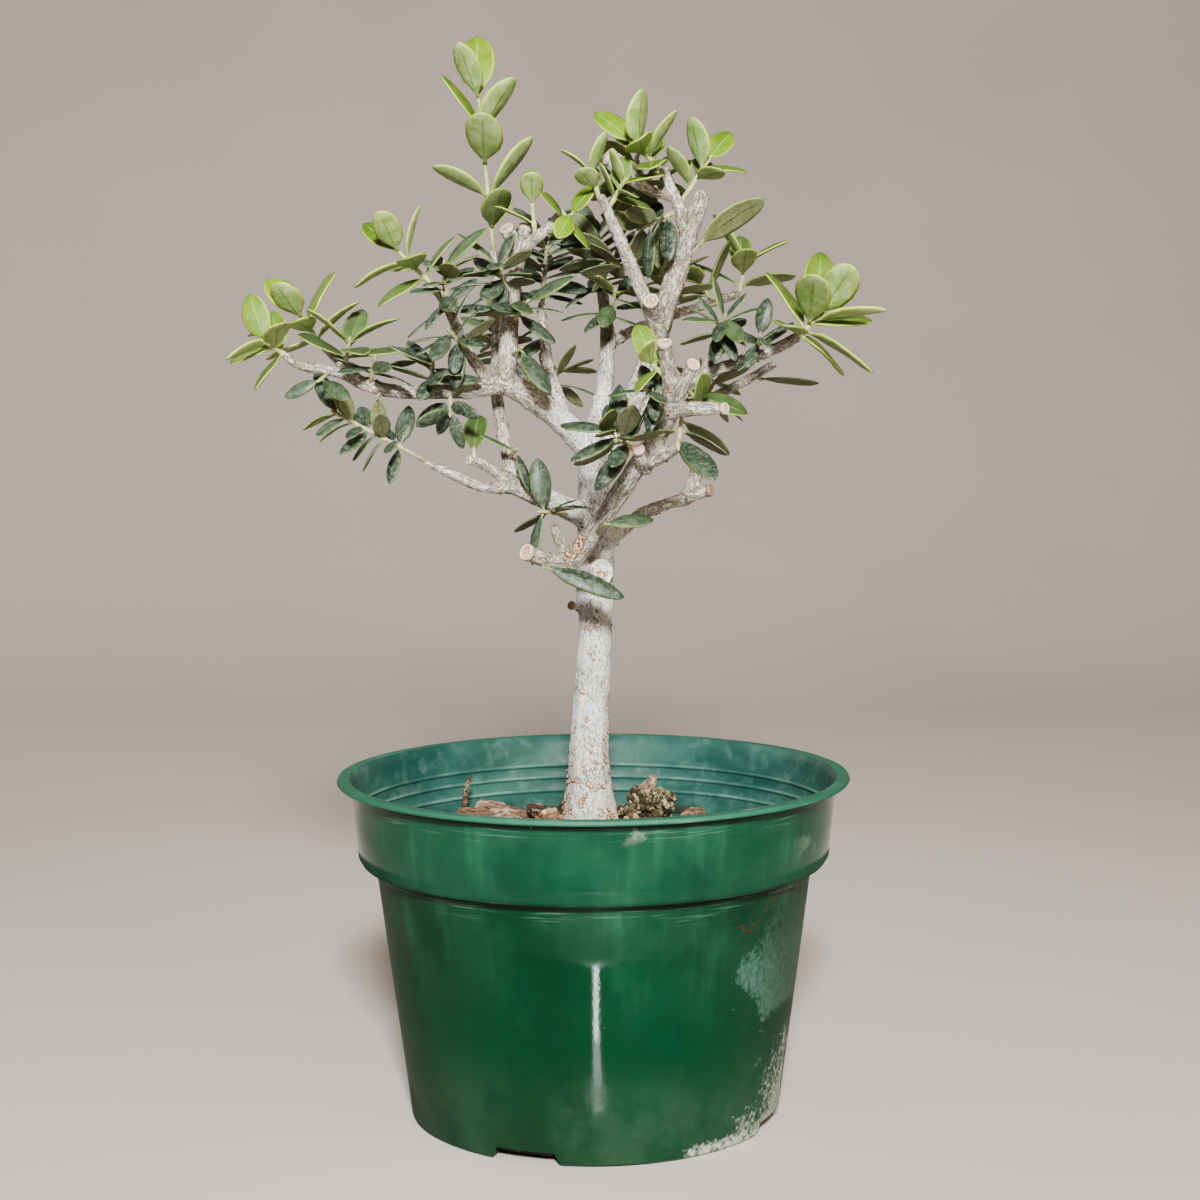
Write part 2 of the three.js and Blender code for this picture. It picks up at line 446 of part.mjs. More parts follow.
function drawBlade(draw, shoot, pair, face) {
  return {
    heading: shoot.turn + face * 90,
    swing: draw(-18, 18),
    lean: shoot.nodes[pair].spread + draw(-9, 9),
    length: shoot.leaf * draw(0.88, 1.08),
    slim: draw(0.42, 0.56),
    roll: draw(-12, 12),
    bend: draw(0.12, 0.6),
  };
}

function placedBlade(shoot, pair, drawn, [turnMore, leanMore]) {
  const { clamp, degToRad, lerp, radToDeg } = THREE.MathUtils;
  const lean = degToRad(Math.max(drawn.lean + leanMore, shoot.youth > 0.7 ? youngLean : leastLean));
  const within = (angle, limit) => clamp(angle, -limit * Math.sin(lean), limit * Math.sin(lean));
  const out = outward(shoot.frame, drawn.heading + within(drawn.swing + turnMore, swingLimit));
  const stem = shoot.frame.along;
  const along = stem.clone().multiplyScalar(Math.cos(lean)).addScaledVector(out, Math.sin(lean));
  const upper = stem.clone().multiplyScalar(Math.sin(lean)).addScaledVector(out, -Math.cos(lean));
  const toSky = radToDeg(Math.atan2(along.clone().cross(upper).z, upper.z));
  const twist = within(toSky * lerp(1, 0.4, shoot.youth) + drawn.roll, twistLimit);
  upper.applyAxisAngle(along, degToRad(twist));
  const { length, slim, bend } = drawn;
  return { root: shoot.nodes[pair].root, along, upper, length, width: length * slim, bend };
}

function boxed(solid) {
  return { solid, box: solid.boundingBox() };
}

function clearOf(room, others) {
  const { solid, box } = boxed(room);
  return others.every((other) => {
    const apart = [0, 1, 2].some((k) => box.min[k] > other.box.max[k] || box.max[k] < other.box.min[k]);
    return apart || solid.intersect(other.solid).volume() < 1e-5;
  });
}

function growBlades(shoot, draw, around) {
  const stem = boxed(solidOf(stemGeometry(shoot, [])));
  const blades = [];
  for (let pair = 0; pair < shoot.nodes.length; pair += 1) {
    for (let side = 0; side < shoot.perNode; side += 1) {
      const face = (pair + 2 * side) % 4;
      const drawn = drawBlade(draw, shoot, pair, face);
      const fit = detours.map((detour) => placedBlade(shoot, pair, drawn, detour))
        .find((placed) => clearOf(bladeRoom(placed, bladeMargin, 0.12), around)
          && clearOf(bladeRoom(placed, 0.15, 0.15), blades)
          && clearOf(solidOf(bladeGeometry(placed, shoot, pair, face)), [stem, ...blades]));
      if (fit) {
        const geometry = bladeGeometry(fit, shoot, pair, face);
        blades.push({ ...boxed(solidOf(geometry.clone())), geometry, pair, face });
      }
    }
  }
  return blades;
}

function shootSolids(wood) {
  const read = Object.entries(shoots).map(([name, row]) => ({ name, shoot: readShoot(row) }));
  for (const entry of read) entry.stem = boxed(solidOf(stemGeometry(entry.shoot, [], bladeMargin)));
  const taken = [boxed(wood)];
  return read.map(({ name, shoot, stem }, order) => {
    const around = [...taken, ...read.map((entry) => entry.stem).filter((other) => other !== stem)];
    const blades = growBlades(shoot, seededDraw(977 + order * 131), around);
    const open = blades.map(({ geometry }) => withoutQuads(geometry, [1]));
    const solid = solidOf(mergeGeometries([stemGeometry(shoot, blades), ...open]));
    taken.push(boxed(solid));
    return { name, youth: shoot.youth, solid };
  });
}

// ---- the object ----
function material(color, roughness) {
  return new THREE.MeshStandardMaterial({ color, roughness, metalness: 0 });
}

const potPlastic = material(0x0b5d41, 0.32);
const mixEarth = material(0x3a2c22, 0.95);
const bark = material(0xb9b3a8, 0.85);
const chipBark = material(0x7a5a48, 0.9);
const pumice = material(0xa89a6c, 0.95);
const oldLeaf = material(0x46583f, 0.5);
const sageLeaf = material(0x7d9368, 0.55);
const freshLeaf = material(0x9fb45c, 0.5);

const tree = new THREE.Group();

function addPiece(name, solid, finish) {
  const mesh = new THREE.Mesh(geometryOf(solid), finish);
  mesh.name = name;
  tree.add(mesh);
}

const wood = woodSolid();
const roomForWood = woodSolid(clearance);
const mix = mixSolid().subtract(tubeSolid(limbs.trunk, 9, clearance));
const roomForMix = mixSolid(clearance);

addPiece('nursery_pot', potSolid(), potPlastic);
addPiece('potting_mix', mix, mixEarth);
addPiece('olive_wood', wood, bark);
const scatter = seededDraw(4211);
addPiece('pumice_clump', clumpSolid(scatter).subtract(roomForMix).subtract(roomForWood), pumice);
for (const [name, row] of Object.entries(barkChips)) {
  addPiece(`bark_chip_${name}`, chipSolid(row, scatter).subtract(roomForMix).subtract(roomForWood), chipBark);
}
for (const { name, youth, solid } of shootSolids(wood)) {
  const finish = youth > 0.65 ? freshLeaf : youth > 0.25 ? sageLeaf : oldLeaf;
  addPiece(`shoot_${name}`, solid.subtract(roomForWood), finish);
}

export default tree;
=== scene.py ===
import math

import bmesh
import bpy
import numpy as np
from mathutils import Matrix, Vector, noise
from mathutils.bvhtree import BVHTree
from mathutils.kdtree import KDTree


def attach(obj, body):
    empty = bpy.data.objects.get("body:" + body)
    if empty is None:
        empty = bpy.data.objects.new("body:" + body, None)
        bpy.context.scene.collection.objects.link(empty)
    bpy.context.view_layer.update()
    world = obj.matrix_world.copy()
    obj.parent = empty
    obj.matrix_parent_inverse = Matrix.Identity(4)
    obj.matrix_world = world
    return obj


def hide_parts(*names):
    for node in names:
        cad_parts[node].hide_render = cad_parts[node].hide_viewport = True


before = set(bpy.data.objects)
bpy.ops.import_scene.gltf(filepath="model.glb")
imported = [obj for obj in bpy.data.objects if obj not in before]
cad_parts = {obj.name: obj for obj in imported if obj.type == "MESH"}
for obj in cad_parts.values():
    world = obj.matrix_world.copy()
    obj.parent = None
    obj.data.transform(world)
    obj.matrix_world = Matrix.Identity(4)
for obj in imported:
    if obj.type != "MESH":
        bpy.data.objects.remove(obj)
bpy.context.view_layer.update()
millimetre = 0.001
mergeWithin = 0.02 * millimetre


def seededDraw(seed):
    # Numbers that look random and are the same in every run.
    state = seed

    def draw(low, high):
        nonlocal state
        state = (state * 16807) % 2147483647
        return low + (high - low) * (state / 2147483647)

    return draw


def soloSelect(*pieces):
    bpy.ops.object.select_all(action="DESELECT")
    for piece in pieces:
        piece.select_set(True)
    bpy.context.view_layer.objects.active = pieces[0]


def editAll(piece):
    soloSelect(piece)
    bpy.ops.object.mode_set(mode="EDIT")
    bpy.ops.mesh.select_all(action="SELECT")


def endEdit():
    bpy.ops.object.mode_set(mode="OBJECT")


def turnFacesOut():
    bpy.ops.mesh.select_all(action="SELECT")
    bpy.ops.mesh.normals_make_consistent(inside=False)
    endEdit()


def selectFaces(piece, test):
    bpy.ops.mesh.select_all(action="DESELECT")
    bpy.ops.mesh.select_mode(type="FACE")
    shape = bmesh.from_edit_mesh(piece.data)
    for face in shape.faces:
        face.select_set(test(face.calc_center_median(), face.normal))
    bmesh.update_edit_mesh(piece.data)


def withModifier(piece, kind, **values):
    soloSelect(piece)
    modifier = piece.modifiers.new(kind.lower(), kind)
    for name, value in values.items():
        setattr(modifier, name, value)
    bpy.ops.object.modifier_apply(modifier=modifier.name)


def remeshed(piece, voxel):
    withModifier(piece, "REMESH", mode="VOXEL", voxel_size=voxel * millimetre)


def shadeSmooth(piece):
    for face in piece.data.polygons:
        face.use_smooth = True


def newPiece(name, mesh):
    piece = bpy.data.objects.new(name, mesh)
    bpy.context.scene.collection.objects.link(piece)
    return piece


def removePieces(pieces):
    for piece in pieces:
        bpy.data.objects.remove(piece)


def copyOfNode(node, name):
    # The frame's loose triangles, merged. The node itself stays as it is.
    piece = newPiece(name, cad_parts[node].data.copy())
    editAll(piece)
    bpy.ops.mesh.remove_doubles(threshold=mergeWithin)
    turnFacesOut()
    piece.data.materials.clear()
    return piece


def joinPieces(name, pieces):
    soloSelect(*pieces)
    bpy.ops.object.join()
    pieces[0].name = name
    return pieces[0]


def extrudeRing(before, after):
    # From one ring to the next, each given as its radius and height in millimetres.
    rise = (after[1] - before[1]) * millimetre
    bpy.ops.mesh.extrude_region_move(TRANSFORM_OT_translate={"value": (0, 0, rise)})
    grow = after[0] / before[0]
    bpy.ops.transform.resize(value=(grow, grow, 1), center_override=(0, 0, after[1] * millimetre))


def turned(*turns):
    # Turns by an angle about an axis, of which the last one comes first.
    matrix = Matrix.Identity(4)
    for angle, axis in turns:
        matrix = matrix @ Matrix.Rotation(angle, 4, axis)
    return matrix


def strewn(name, template, spot, turn, scale, mark, columns):
    # A copy with a mesh of its own, placed and marked.
    piece = newPiece(name, template.data.copy())
    piece.data.transform(Matrix.Translation(spot) @ turn @ Matrix.Scale(scale, 4))
    setMark(piece.data, mark, columns)
    return piece


def places(mesh):
    spots = np.empty(len(mesh.vertices) * 3, np.float32)
    mesh.vertices.foreach_get("co", spots)
    return spots.reshape(-1, 3).astype(float)


def setPlaces(mesh, spots):
    mesh.vertices.foreach_set("co", np.asarray(spots, np.float32).ravel())
    mesh.update()


def outwards(mesh):
    normals = np.empty(len(mesh.vertices) * 3, np.float32)
    mesh.vertex_normals.foreach_get("vector", normals)
    return normals.reshape(-1, 3).astype(float)


def setMark(mesh, name, columns):
    # Up to four numbers a point, which the materials read as a colour and an alpha.
    values = np.ones((len(mesh.vertices), 4), np.float32)
    for column, value in enumerate(columns):
        values[:, column] = value
    mark = mesh.attributes.get(name) or mesh.attributes.new(name, "FLOAT_COLOR", "POINT")
    mark.data.foreach_set("color", values.ravel())


def fractalAt(spots, size, octaves=3, shift=0.0):
    # Fractal noise from about -1 to 1, with features of the given size in millimetres.
    scale = 1 / (size * millimetre)
    move = Vector((shift, shift * 0.7, -shift))
    return np.array([noise.fractal(Vector(spot) * scale + move, 1.0, 2.0, octaves) for spot in spots])


def finish(piece, slotName, materials, *replaced):
    for material in materials:
        piece.data.materials.append(material)
    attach(piece, "root")
    if replaced:
        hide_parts(*replaced)


# Shader tools. A tint is given by its red, green and blue from 0 to 255, or is a socket of another node.
def colour(red, green, blue):
    def linear(value):
        value /= 255
        return value / 12.92 if value < 0.04045 else ((value + 0.055) / 1.055) ** 2.4

    return (linear(red), linear(green), linear(blue), 1.0)


def isSocket(value):
    return isinstance(value, bpy.types.NodeSocket)


def feed(value, socket):
    if isSocket(value):
        socket.id_data.links.new(value, socket)
    else:
        socket.default_value = value


def addNode(tree, kind, inputs=(), **settings):
    node = tree.nodes.new("ShaderNode" + kind)
    for name, value in settings.items():
        setattr(node, name, value)
    for name, value in dict(inputs).items():
        feed(value, node.inputs[name])
    return node


def nodeFrom(kind, inputs, **settings):
    # A node in the tree of the sockets that feed it.
    tree = next(value.id_data for value in inputs.values() if isSocket(value))
    return addNode(tree, kind, inputs, **settings)


def calc(operation, first, *others):
    for other in others:
        first = nodeFrom("Math", {0: first, 1: other}, operation=operation).outputs[0]
    return first


def plus(first, second):
    return calc("ADD", first, second)


def minus(first, second):
    return calc("SUBTRACT", first, second)


def times(*values):
    return calc("MULTIPLY", *values)


def larger(*values):
    return calc("MAXIMUM", *values)


def apart(first, second):
    return calc("ABSOLUTE", minus(first, second), 0.0)


def span(value, low, high, toLow=0.0, toHigh=1.0, kind="SMOOTHSTEP"):
    return nodeFrom("MapRange", {0: value, 1: low, 2: high, 3: toLow, 4: toHigh},
                    interpolation_type=kind).outputs[0]


def between(value, low, lowFull, highFull, high):
    # Full from lowFull to highFull, and nothing past low and high.
    return times(span(value, low, lowFull), span(value, high, highFull))


def blend(mask, first, second, kind="MIX"):
    first, second = [colour(*tint) if isinstance(tint, tuple) else tint for tint in (first, second)]
    return nodeFrom("Mix", {0: mask, 6: first, 7: second}, data_type="RGBA", blend_type=kind).outputs[2]


def ramp(value, *stops):
    # Stops of a place and a tint: the two ends first, then those between.
    node = nodeFrom("ValToRGB", {0: value})
    for index, (place, *tint) in enumerate(stops):
        stop = node.color_ramp.elements[index] if index < 2 else node.color_ramp.elements.new(place)
        stop.position = place
        stop.color = colour(*tint)
    return node.outputs[0]


def stretched(vector, scale, turn=(0, 0, 0)):
    return nodeFrom("Mapping", {"Vector": vector, "Scale": scale, "Rotation": turn}).outputs[0]


def axes(vector):
    return nodeFrom("SeparateXYZ", {0: vector}).outputs


def noiseOf(vector, scale, detail, roughness=0.5):
    return nodeFrom("TexNoise", {"Vector": vector, "Scale": scale, "Detail": detail,
                                 "Roughness": roughness}).outputs[0]


def swing(value, amount):
    # Noise that runs about 0.5, turned into one that runs about 0.
    return times(minus(value, 0.5), amount)


def effectGroup(name, inputs, outputs):
    group = bpy.data.node_groups.new(name, "ShaderNodeTree")
    for socket, default in inputs.items():
        kind = "NodeSocketVector" if default is None else "NodeSocketFloat"
        item = group.interface.new_socket(socket, in_out="INPUT", socket_type=kind)
        if default is not None:
            item.default_value = default
    for socket in outputs:
        group.interface.new_socket(socket, in_out="OUTPUT", socket_type="NodeSocketFloat")
    return group, group.nodes.new("NodeGroupInput").outputs, group.nodes.new("NodeGroupOutput").inputs


def mottleGroup():
    # Soft patches: noise that is cut off below Low and full above High.
    group, inputs, outputs = effectGroup(
        "mottle", {"Vector": None, "Scale": 100.0, "Detail": 4.0, "Low": 0.4, "High": 0.6}, ["Mask"])
    cloud = noiseOf(inputs["Vector"], inputs["Scale"], inputs["Detail"], 0.6)
    feed(span(cloud, inputs["Low"], inputs["High"]), outputs["Mask"])
    return group


def specksGroup():
    # Round spots of the given size in cells, in only a share of the cells, each with a tone of its own.
    group, inputs, outputs = effectGroup(
        "specks", {"Vector": None, "Scale": 300.0, "Size": 0.3, "Share": 0.5}, ["Mask", "Tone"])
    cells = nodeFrom("TexVoronoi", {"Vector": inputs["Vector"], "Scale": inputs["Scale"]})
    tone = nodeFrom("SeparateColor", {0: cells.outputs["Color"]}).outputs
    spot = span(cells.outputs["Distance"], inputs["Size"], times(inputs["Size"], 0.7))
    feed(times(spot, calc("LESS_THAN", tone[0], inputs["Share"])), outputs["Mask"])
    feed(tone[1], outputs["Tone"])
    return group


mottle = mottleGroup()
specks = specksGroup()


def patches(vector, scale, low, high, detail=4.0):
    return nodeFrom("Group", {"Vector": vector, "Scale": scale, "Detail": detail, "Low": low, "High": high},
                    node_tree=mottle).outputs[0]


def specked(vector, scale, size, share):
    # The mask of the spots and their tones.
    return nodeFrom("Group", {"Vector": vector, "Scale": scale, "Size": size, "Share": share},
                    node_tree=specks).outputs


def newMaterial(name):
    material = bpy.data.materials.new(name)
    material.use_nodes = True
    coords = addNode(material.node_tree, "TexCoord").outputs["Object"]
    return material, coords, material.node_tree.nodes["Principled BSDF"].inputs


def bumpUp(inputs, height, distance, strength):
    # The distance is in millimetres.
    node = nodeFrom("Bump", {"Height": height, "Distance": distance * millimetre, "Strength": strength})
    feed(node.outputs[0], inputs["Normal"])


def readMark(material, name):
    node = addNode(material.node_tree, "Attribute", attribute_name=name)
    parts = nodeFrom("SeparateColor", {0: node.outputs["Color"]}).outputs
    return parts[0], parts[1], parts[2], node.outputs["Alpha"]


# The pot: one wall drawn up ring by ring, with notches and a nick cut out and its edges rounded.
potSize = {
    "sides": 144,
    "foot": (58.9, 0.0),               # rings of the wall as radius and height: up outside, down inside
    "outside": [(59.8, 0.9), (62.0, 18.5), (66.2, 50.0), (70.5, 83.55), (74.7, 83.65), (75.9, 85.65),
                (77.0, 97.2), (78.1, 108.75), (82.1, 109.15), (82.5, 109.65), (82.1, 110.65)],
    "bandInside": [(78.5, 110.65), (76.8, 108.15), (74.6, 86.05)],
    "inside": [(73.3, 84.95), (69.2, 84.85), (64.0, 43.0), (58.5, 1.8)],
    "ridges": [100.4, 96.2, 91.6],     # faint rings moulded on the inside of the band
    "ridgeRise": 0.4,
    "ridgeHalf": (0.8, 0.2),           # half its height at the wall and at its crest
    "notches": [-21, 69, 159, 249],    # degrees from the front, towards +X
    "notch": {"radius": 50.8, "depth": 14, "low": -1, "high": 4.2, "lowWidth": 24, "highWidth": 19},
    "nicks": [50],                     # a chip out of the flange
    "nick": {"radius": 80.3, "depth": 5, "low": 109.7, "high": 111.7, "lowWidth": 0.2, "highWidth": 2.6},
    "soleInset": 9,
    "soleRise": 0.7,
    "rounding": 0.3,
    "roundedFrom": 40,                 # degrees between two faces whose edge is rounded
    "smoothTo": 32,
    "paleAbove": 80,                   # where the inner wall takes the second material
}


def potRings(size):
    top, high, low = size["bandInside"]
    rings = size["outside"] + [top, high]
    atWall, atCrest = size["ridgeHalf"]
    for height in size["ridges"]:
        wall = low[0] + (high[0] - low[0]) * (height - low[1]) / (high[1] - low[1])
        crest = wall - size["ridgeRise"]
        rings += [(wall, height + atWall), (crest, height + atCrest),
                  (crest, height - atCrest), (wall, height - atWall)]
    return rings + [low] + size["inside"]


def cutterAt(degrees, radius, depth, low, high, lowWidth, highWidth):
    # A wedge from the radius outwards, with one width at its low end and one at its high end.
    bpy.ops.mesh.primitive_cube_add(size=1)
    cutter = bpy.context.object
    turn = Matrix.Rotation(math.radians(degrees), 3, "Z")
    for vertex in cutter.data.vertices:
        x, y, z = vertex.co * 2
        width, height = (lowWidth, low) if z < 0 else (highWidth, high)
        vertex.co = turn @ Vector((x * width / 2, -radius - depth * (1 - y) / 2, height)) * millimetre
    return cutter


def makePot(size):
    bpy.ops.object.select_all(action="DESELECT")
    bpy.ops.mesh.primitive_circle_add(vertices=size["sides"], radius=size["foot"][0] * millimetre,
                                      fill_type="NGON")
    pot = bpy.context.object
    pot.name = "pot_shell"
    editAll(pot)
    rings = [size["foot"]] + potRings(size)
    for before, after in zip(rings, rings[1:]):
        extrudeRing(before, after)
    selectFaces(pot, lambda centre, normal: abs(centre.z) < 1e-5 and abs(normal.z) > 0.9)
    bpy.ops.mesh.inset(thickness=size["soleInset"] * millimetre)
    bpy.ops.transform.translate(value=(0, 0, size["soleRise"] * millimetre))
    turnFacesOut()
    cutters = [cutterAt(degrees, **size["notch"]) for degrees in size["notches"]]
    cutters += [cutterAt(degrees, **size["nick"]) for degrees in size["nicks"]]
    cutter = joinPieces("cutters", cutters)
    editAll(cutter)
    turnFacesOut()
    withModifier(pot, "BOOLEAN", object=cutter, operation="DIFFERENCE", solver="EXACT")
    removePieces([cutter])
    withModifier(pot, "BEVEL", width=size["rounding"] * millimetre, segments=2, limit_method="ANGLE",
                 angle_limit=math.radians(size["roundedFrom"]), use_clamp_overlap=True)
    soloSelect(pot)
    bpy.ops.object.shade_smooth_by_angle(angle=math.radians(size["smoothTo"]))
    return pot


def markInside(pot, size):
    # The band's inner wall takes the second material.
    for face in pot.data.polygons:
        inwards = face.center.x * face.normal.x + face.center.y * face.normal.y < -1e-6
        face.material_index = 1 if inwards and face.center.z > size["paleAbove"] * millimetre else 0


potLook = {
    "deep": (0, 46, 26),
    "green": (0, 58, 34),
    "band": (40, 92, 74),
    "wiped": (70, 128, 104),
    "scuffed": (150, 180, 168),
    "rim": (66, 126, 104),
    "corner": (2, 24, 16),             # painted shade: the dark line under the band and under the flange
    "film": (112, 146, 134),           # thin lime
    "lime": (186, 192, 178),
    "dust": (78, 100, 76),
    "dots": (160, 176, 150),
    "thread": (66, 46, 36),
    "glossy": 0.07,                    # roughness of the polished wall and of the worn places
    "dull": 0.75,
}


def rootThread(coords, x, y, z):
    # A dried root thread stuck to the wall below the band.
    course = plus(span(x, 0.042, 0.064, 0.0715, 0.0815, "LINEAR"), swing(noiseOf(coords, 130.0, 2.0), 0.016))
    thread = times(span(apart(z, course), 0.0007, 0.0003), between(x, 0.042, 0.044, 0.0645, 0.0655))
    return times(thread, span(y, 0.0, -0.01))


def potPlastic(look):
    material, coords, inputs = newMaterial("pot_plastic_green")
    x, y, z = axes(coords)
    bandFrom, bandFull = 0.0832, 0.0836            # the heights at which the wall gives way to the band
    underFlange = span(z, 0.101, 0.107)
    rim = span(z, 0.1086, 0.1094)
    haze = patches(coords, 36.0, 0.34, 0.7, 7.0)
    wipes = patches(stretched(coords, (150, 150, 9)), 1.0, 0.4, 0.8, 6.0)
    wiped = times(haze, span(wipes, 0, 1, 0.4, 1.0), span(z, 0.03, 0.085, 0.04, 0.36))
    # Scuffs that run round the pot under the flange and under the band.
    scuffs = patches(stretched(coords, (46, 46, 1500)), 1.0, 0.54, 0.7, 6.0)
    ledge = larger(underFlange, between(z, 0.074, 0.081, 0.0835, 0.0845))
    # Painted shade: a dark line under the band and under the flange.
    corner = larger(between(z, 0.0806, 0.0822, 0.0836, 0.0838), between(z, 0.1068, 0.1080, 0.1086, 0.1090))
    # Lime left by hard water: a thin film and a crust on the right, and dust round the foot.
    side = minus(x, times(y, 0.25))
    drift = noiseOf(coords, 70.0, 8.0)
    grit = noiseOf(coords, 620.0, 5.0, 0.7)
    lean = times(apart(z, 0.055), 0.58)
    reach = plus(minus(side, lean), plus(swing(drift, 0.014), swing(grit, 0.008)))
    film = times(span(reach, 0.0555, 0.0580), span(z, 0.080, 0.060, 0.2, 1),
                 span(grit, 0.3, 0.7, 0.3, 1), span(haze, 0, 1, 0.6, 1))
    core = minus(minus(side, times(z, 0.45)), 0.052)
    foot = times(span(side, 0.026, 0.046), span(z, 0.010, 0.002), 1.5)
    field = larger(times(core, 170.0), minus(times(foot, 3.0), 3.4))
    crust = span(plus(field, plus(swing(grit, 5.0), swing(drift, 4.0))), 0.0, 1.3)
    splashes = times(patches(coords, 60.0, 0.6, 0.7, 9.0), larger(span(side, 0.07, 0.085), underFlange), 0.5)
    dust = times(span(z, 0.040, 0.004), span(haze, 0, 1, 0.3, 1))
    dots, tone = specked(coords, 330.0, 0.1, 0.03)
    thread = rootThread(coords, x, y, z)
    tint = blend(patches(coords, 22.0, 0.3, 0.75), look["deep"], look["green"])
    coats = {
        "band": times(span(z, 0.0835, 0.0850), 0.24),
        "wiped": wiped,
        "scuffed": times(scuffs, ledge, 0.3),
        "rim": times(rim, 0.42),
        "corner": times(corner, 0.85),
        "film": times(film, 0.4),
        "lime": times(larger(crust, splashes), 0.8),
        "dust": times(dust, 0.3),
        "dots": times(dots, tone, 0.6),
        "thread": times(thread, 0.85),
    }
    for name, mask in coats.items():
        tint = blend(mask, tint, look[name])
    feed(tint, inputs["Base Color"])
    inputs["Specular IOR Level"].default_value = 0.2
    # The wall is dull but for a polished stretch low at the front.
    high = span(plus(z, times(haze, 0.004)), 0.0630, 0.0685)
    aside = span(apart(x, 0.0), 0.012, 0.034)
    dull = times(larger(high, aside), span(z, bandFull, bandFrom), 0.62)
    edge = between(z, bandFrom, bandFull, 0.0865, 0.0895)
    worn = larger(crust, film, dust, times(wiped, 0.12), times(rim, 0.6), edge, dull)
    feed(span(worn, 0.0, 1.0, look["glossy"], look["dull"]), inputs["Roughness"])
    grain = times(noiseOf(coords, 1100.0, 3.0), 0.12)
    bumps = plus(grain, plus(times(crust, 0.9), thread))
    bumpUp(inputs, plus(bumps, times(noiseOf(coords, 60.0, 1.0), 0.4)), 0.22, 0.6)
    return material


def potInside(size):
    material, coords, inputs = newMaterial("pot_plastic_inside")
    height = axes(coords)[2]
    streak = patches(stretched(coords, (30, 30, 90)), 1.0, 0.34, 0.72, 7.0)
    film = patches(coords, 160.0, 0.5, 0.72, 7.0)
    tint = blend(streak, (34, 72, 64), (58, 96, 86))
    tint = blend(times(film, 0.2), tint, (124, 150, 140))
    for ridge in size["ridges"]:                   # a pale line just above each moulded ring
        away = apart(height, (ridge + 0.3) * millimetre)
        line = times(span(away, 0.0006, 0.0002), span(streak, 0.0, 1.0, 0.1, 0.45))
        tint = blend(line, tint, (118, 152, 140))
    level = minus(height, times(noiseOf(coords, 90.0, 6.0), 0.012))
    tint = blend(times(span(level, 0.0815, 0.0775), 0.85), tint, (48, 40, 30))     # soil on the wall
    feed(tint, inputs["Base Color"])
    inputs["Specular IOR Level"].default_value = 0.25
    feed(span(streak, 0.0, 1.0, 0.4, 0.62), inputs["Roughness"])
    bumpUp(inputs, film, 0.1, 0.5)
    return material


pot = makePot(potSize)
finish(pot, "pot_plastic", [potPlastic(potLook), potInside(potSize)], "nursery_pot")
markInside(pot, potSize)
print("pot:", len(pot.data.polygons), "faces")

# The potting mix: a lumpy ground with crumbs and grit strewn over it.
mixSize = {
    "seed": 1409,
    "voxel": 1.25,
    "lumps": [(9.0, 1.1), (3.2, 0.75)],            # size, height
    "topFrom": 80.5,
    "wall": 68.0,
    "wallFade": 4,                                 # over which the lumps die down before the wall
    "crumbs": 620,
    "crumbLength": (1.6, 3.4),
    "crumbLonger": 6,                              # added to the longest few
    "footLength": (1.4, 3.2),
    "crumbReach": 66,
    "footEvery": 5,                                # each fifth crumb is a small bit round the trunk's foot
    "footRing": (11, 15),                          # its least distance, and how much farther it may lie
    "middleRise": 0.08,                            # of a crumb above the ground, in its lengths
    # Pumice grit heaped against the foot of the trunk: middle, half widths, how many.
    "heaps": [((-14, -4, 92.5), (4.8, 3, 7), 260), ((13, -8, 92), (6, 3.5, 6.5), 220),
              ((-24, 9, 88), (6, 5, 4), 60)],
    "gritLength": (0.9, 2.1),
}
crumbSize = {
    "seed": 6301,
    "flake": (1, 0.62, 0.2),
    "lump": (1, 0.85, 0.7),
    "sliver": (1, 0.26, 0.16),
    "rounding": 0.35,
    "dents": 0.16,
    "smoothTo": 30,
}


def softenMix(piece, size):
    spots = places(piece.data)
    radius = np.hypot(spots[:, 0], spots[:, 1]) / millimetre
    top = (spots[:, 2] > size["topFrom"] * millimetre) & (radius < size["wall"] + 0.6)
    free = np.clip((size["wall"] - radius[top]) / size["wallFade"], 0, 1)
    rise = sum(high * fractalAt(spots[top], wide, 3, 5.3 * wide) for wide, high in size["lumps"])
    spots[top, 2] += rise * free * millimetre
    setPlaces(piece.data, spots)
    relief = np.zeros(len(spots))
    relief[top] = rise
    setMark(piece.data, "mixMark", [0.5 + 0.25 * relief, 0.35, 0.0])


def crumbTemplates(size):
    # A flake, a lump and a sliver, each of a few dozen faces.
    shapes = {}
    draw = seededDraw(size["seed"])
    for name in ("flake", "lump", "sliver"):
        bpy.ops.object.select_all(action="DESELECT")
        bpy.ops.mesh.primitive_cube_add(size=1)
        crumb = bpy.context.object
        editAll(crumb)
        bpy.ops.mesh.subdivide(number_cuts=1, smoothness=size["rounding"])
        bpy.ops.transform.resize(value=size[name], center_override=(0, 0, 0))
        endEdit()
        for vertex in crumb.data.vertices:
            vertex.co = Vector(place + wide * draw(-size["dents"], size["dents"])
                               for place, wide in zip(vertex.co, size[name]))
        bpy.ops.object.shade_smooth_by_angle(angle=math.radians(size["smoothTo"]))
        shapes[name] = crumb
    return shapes


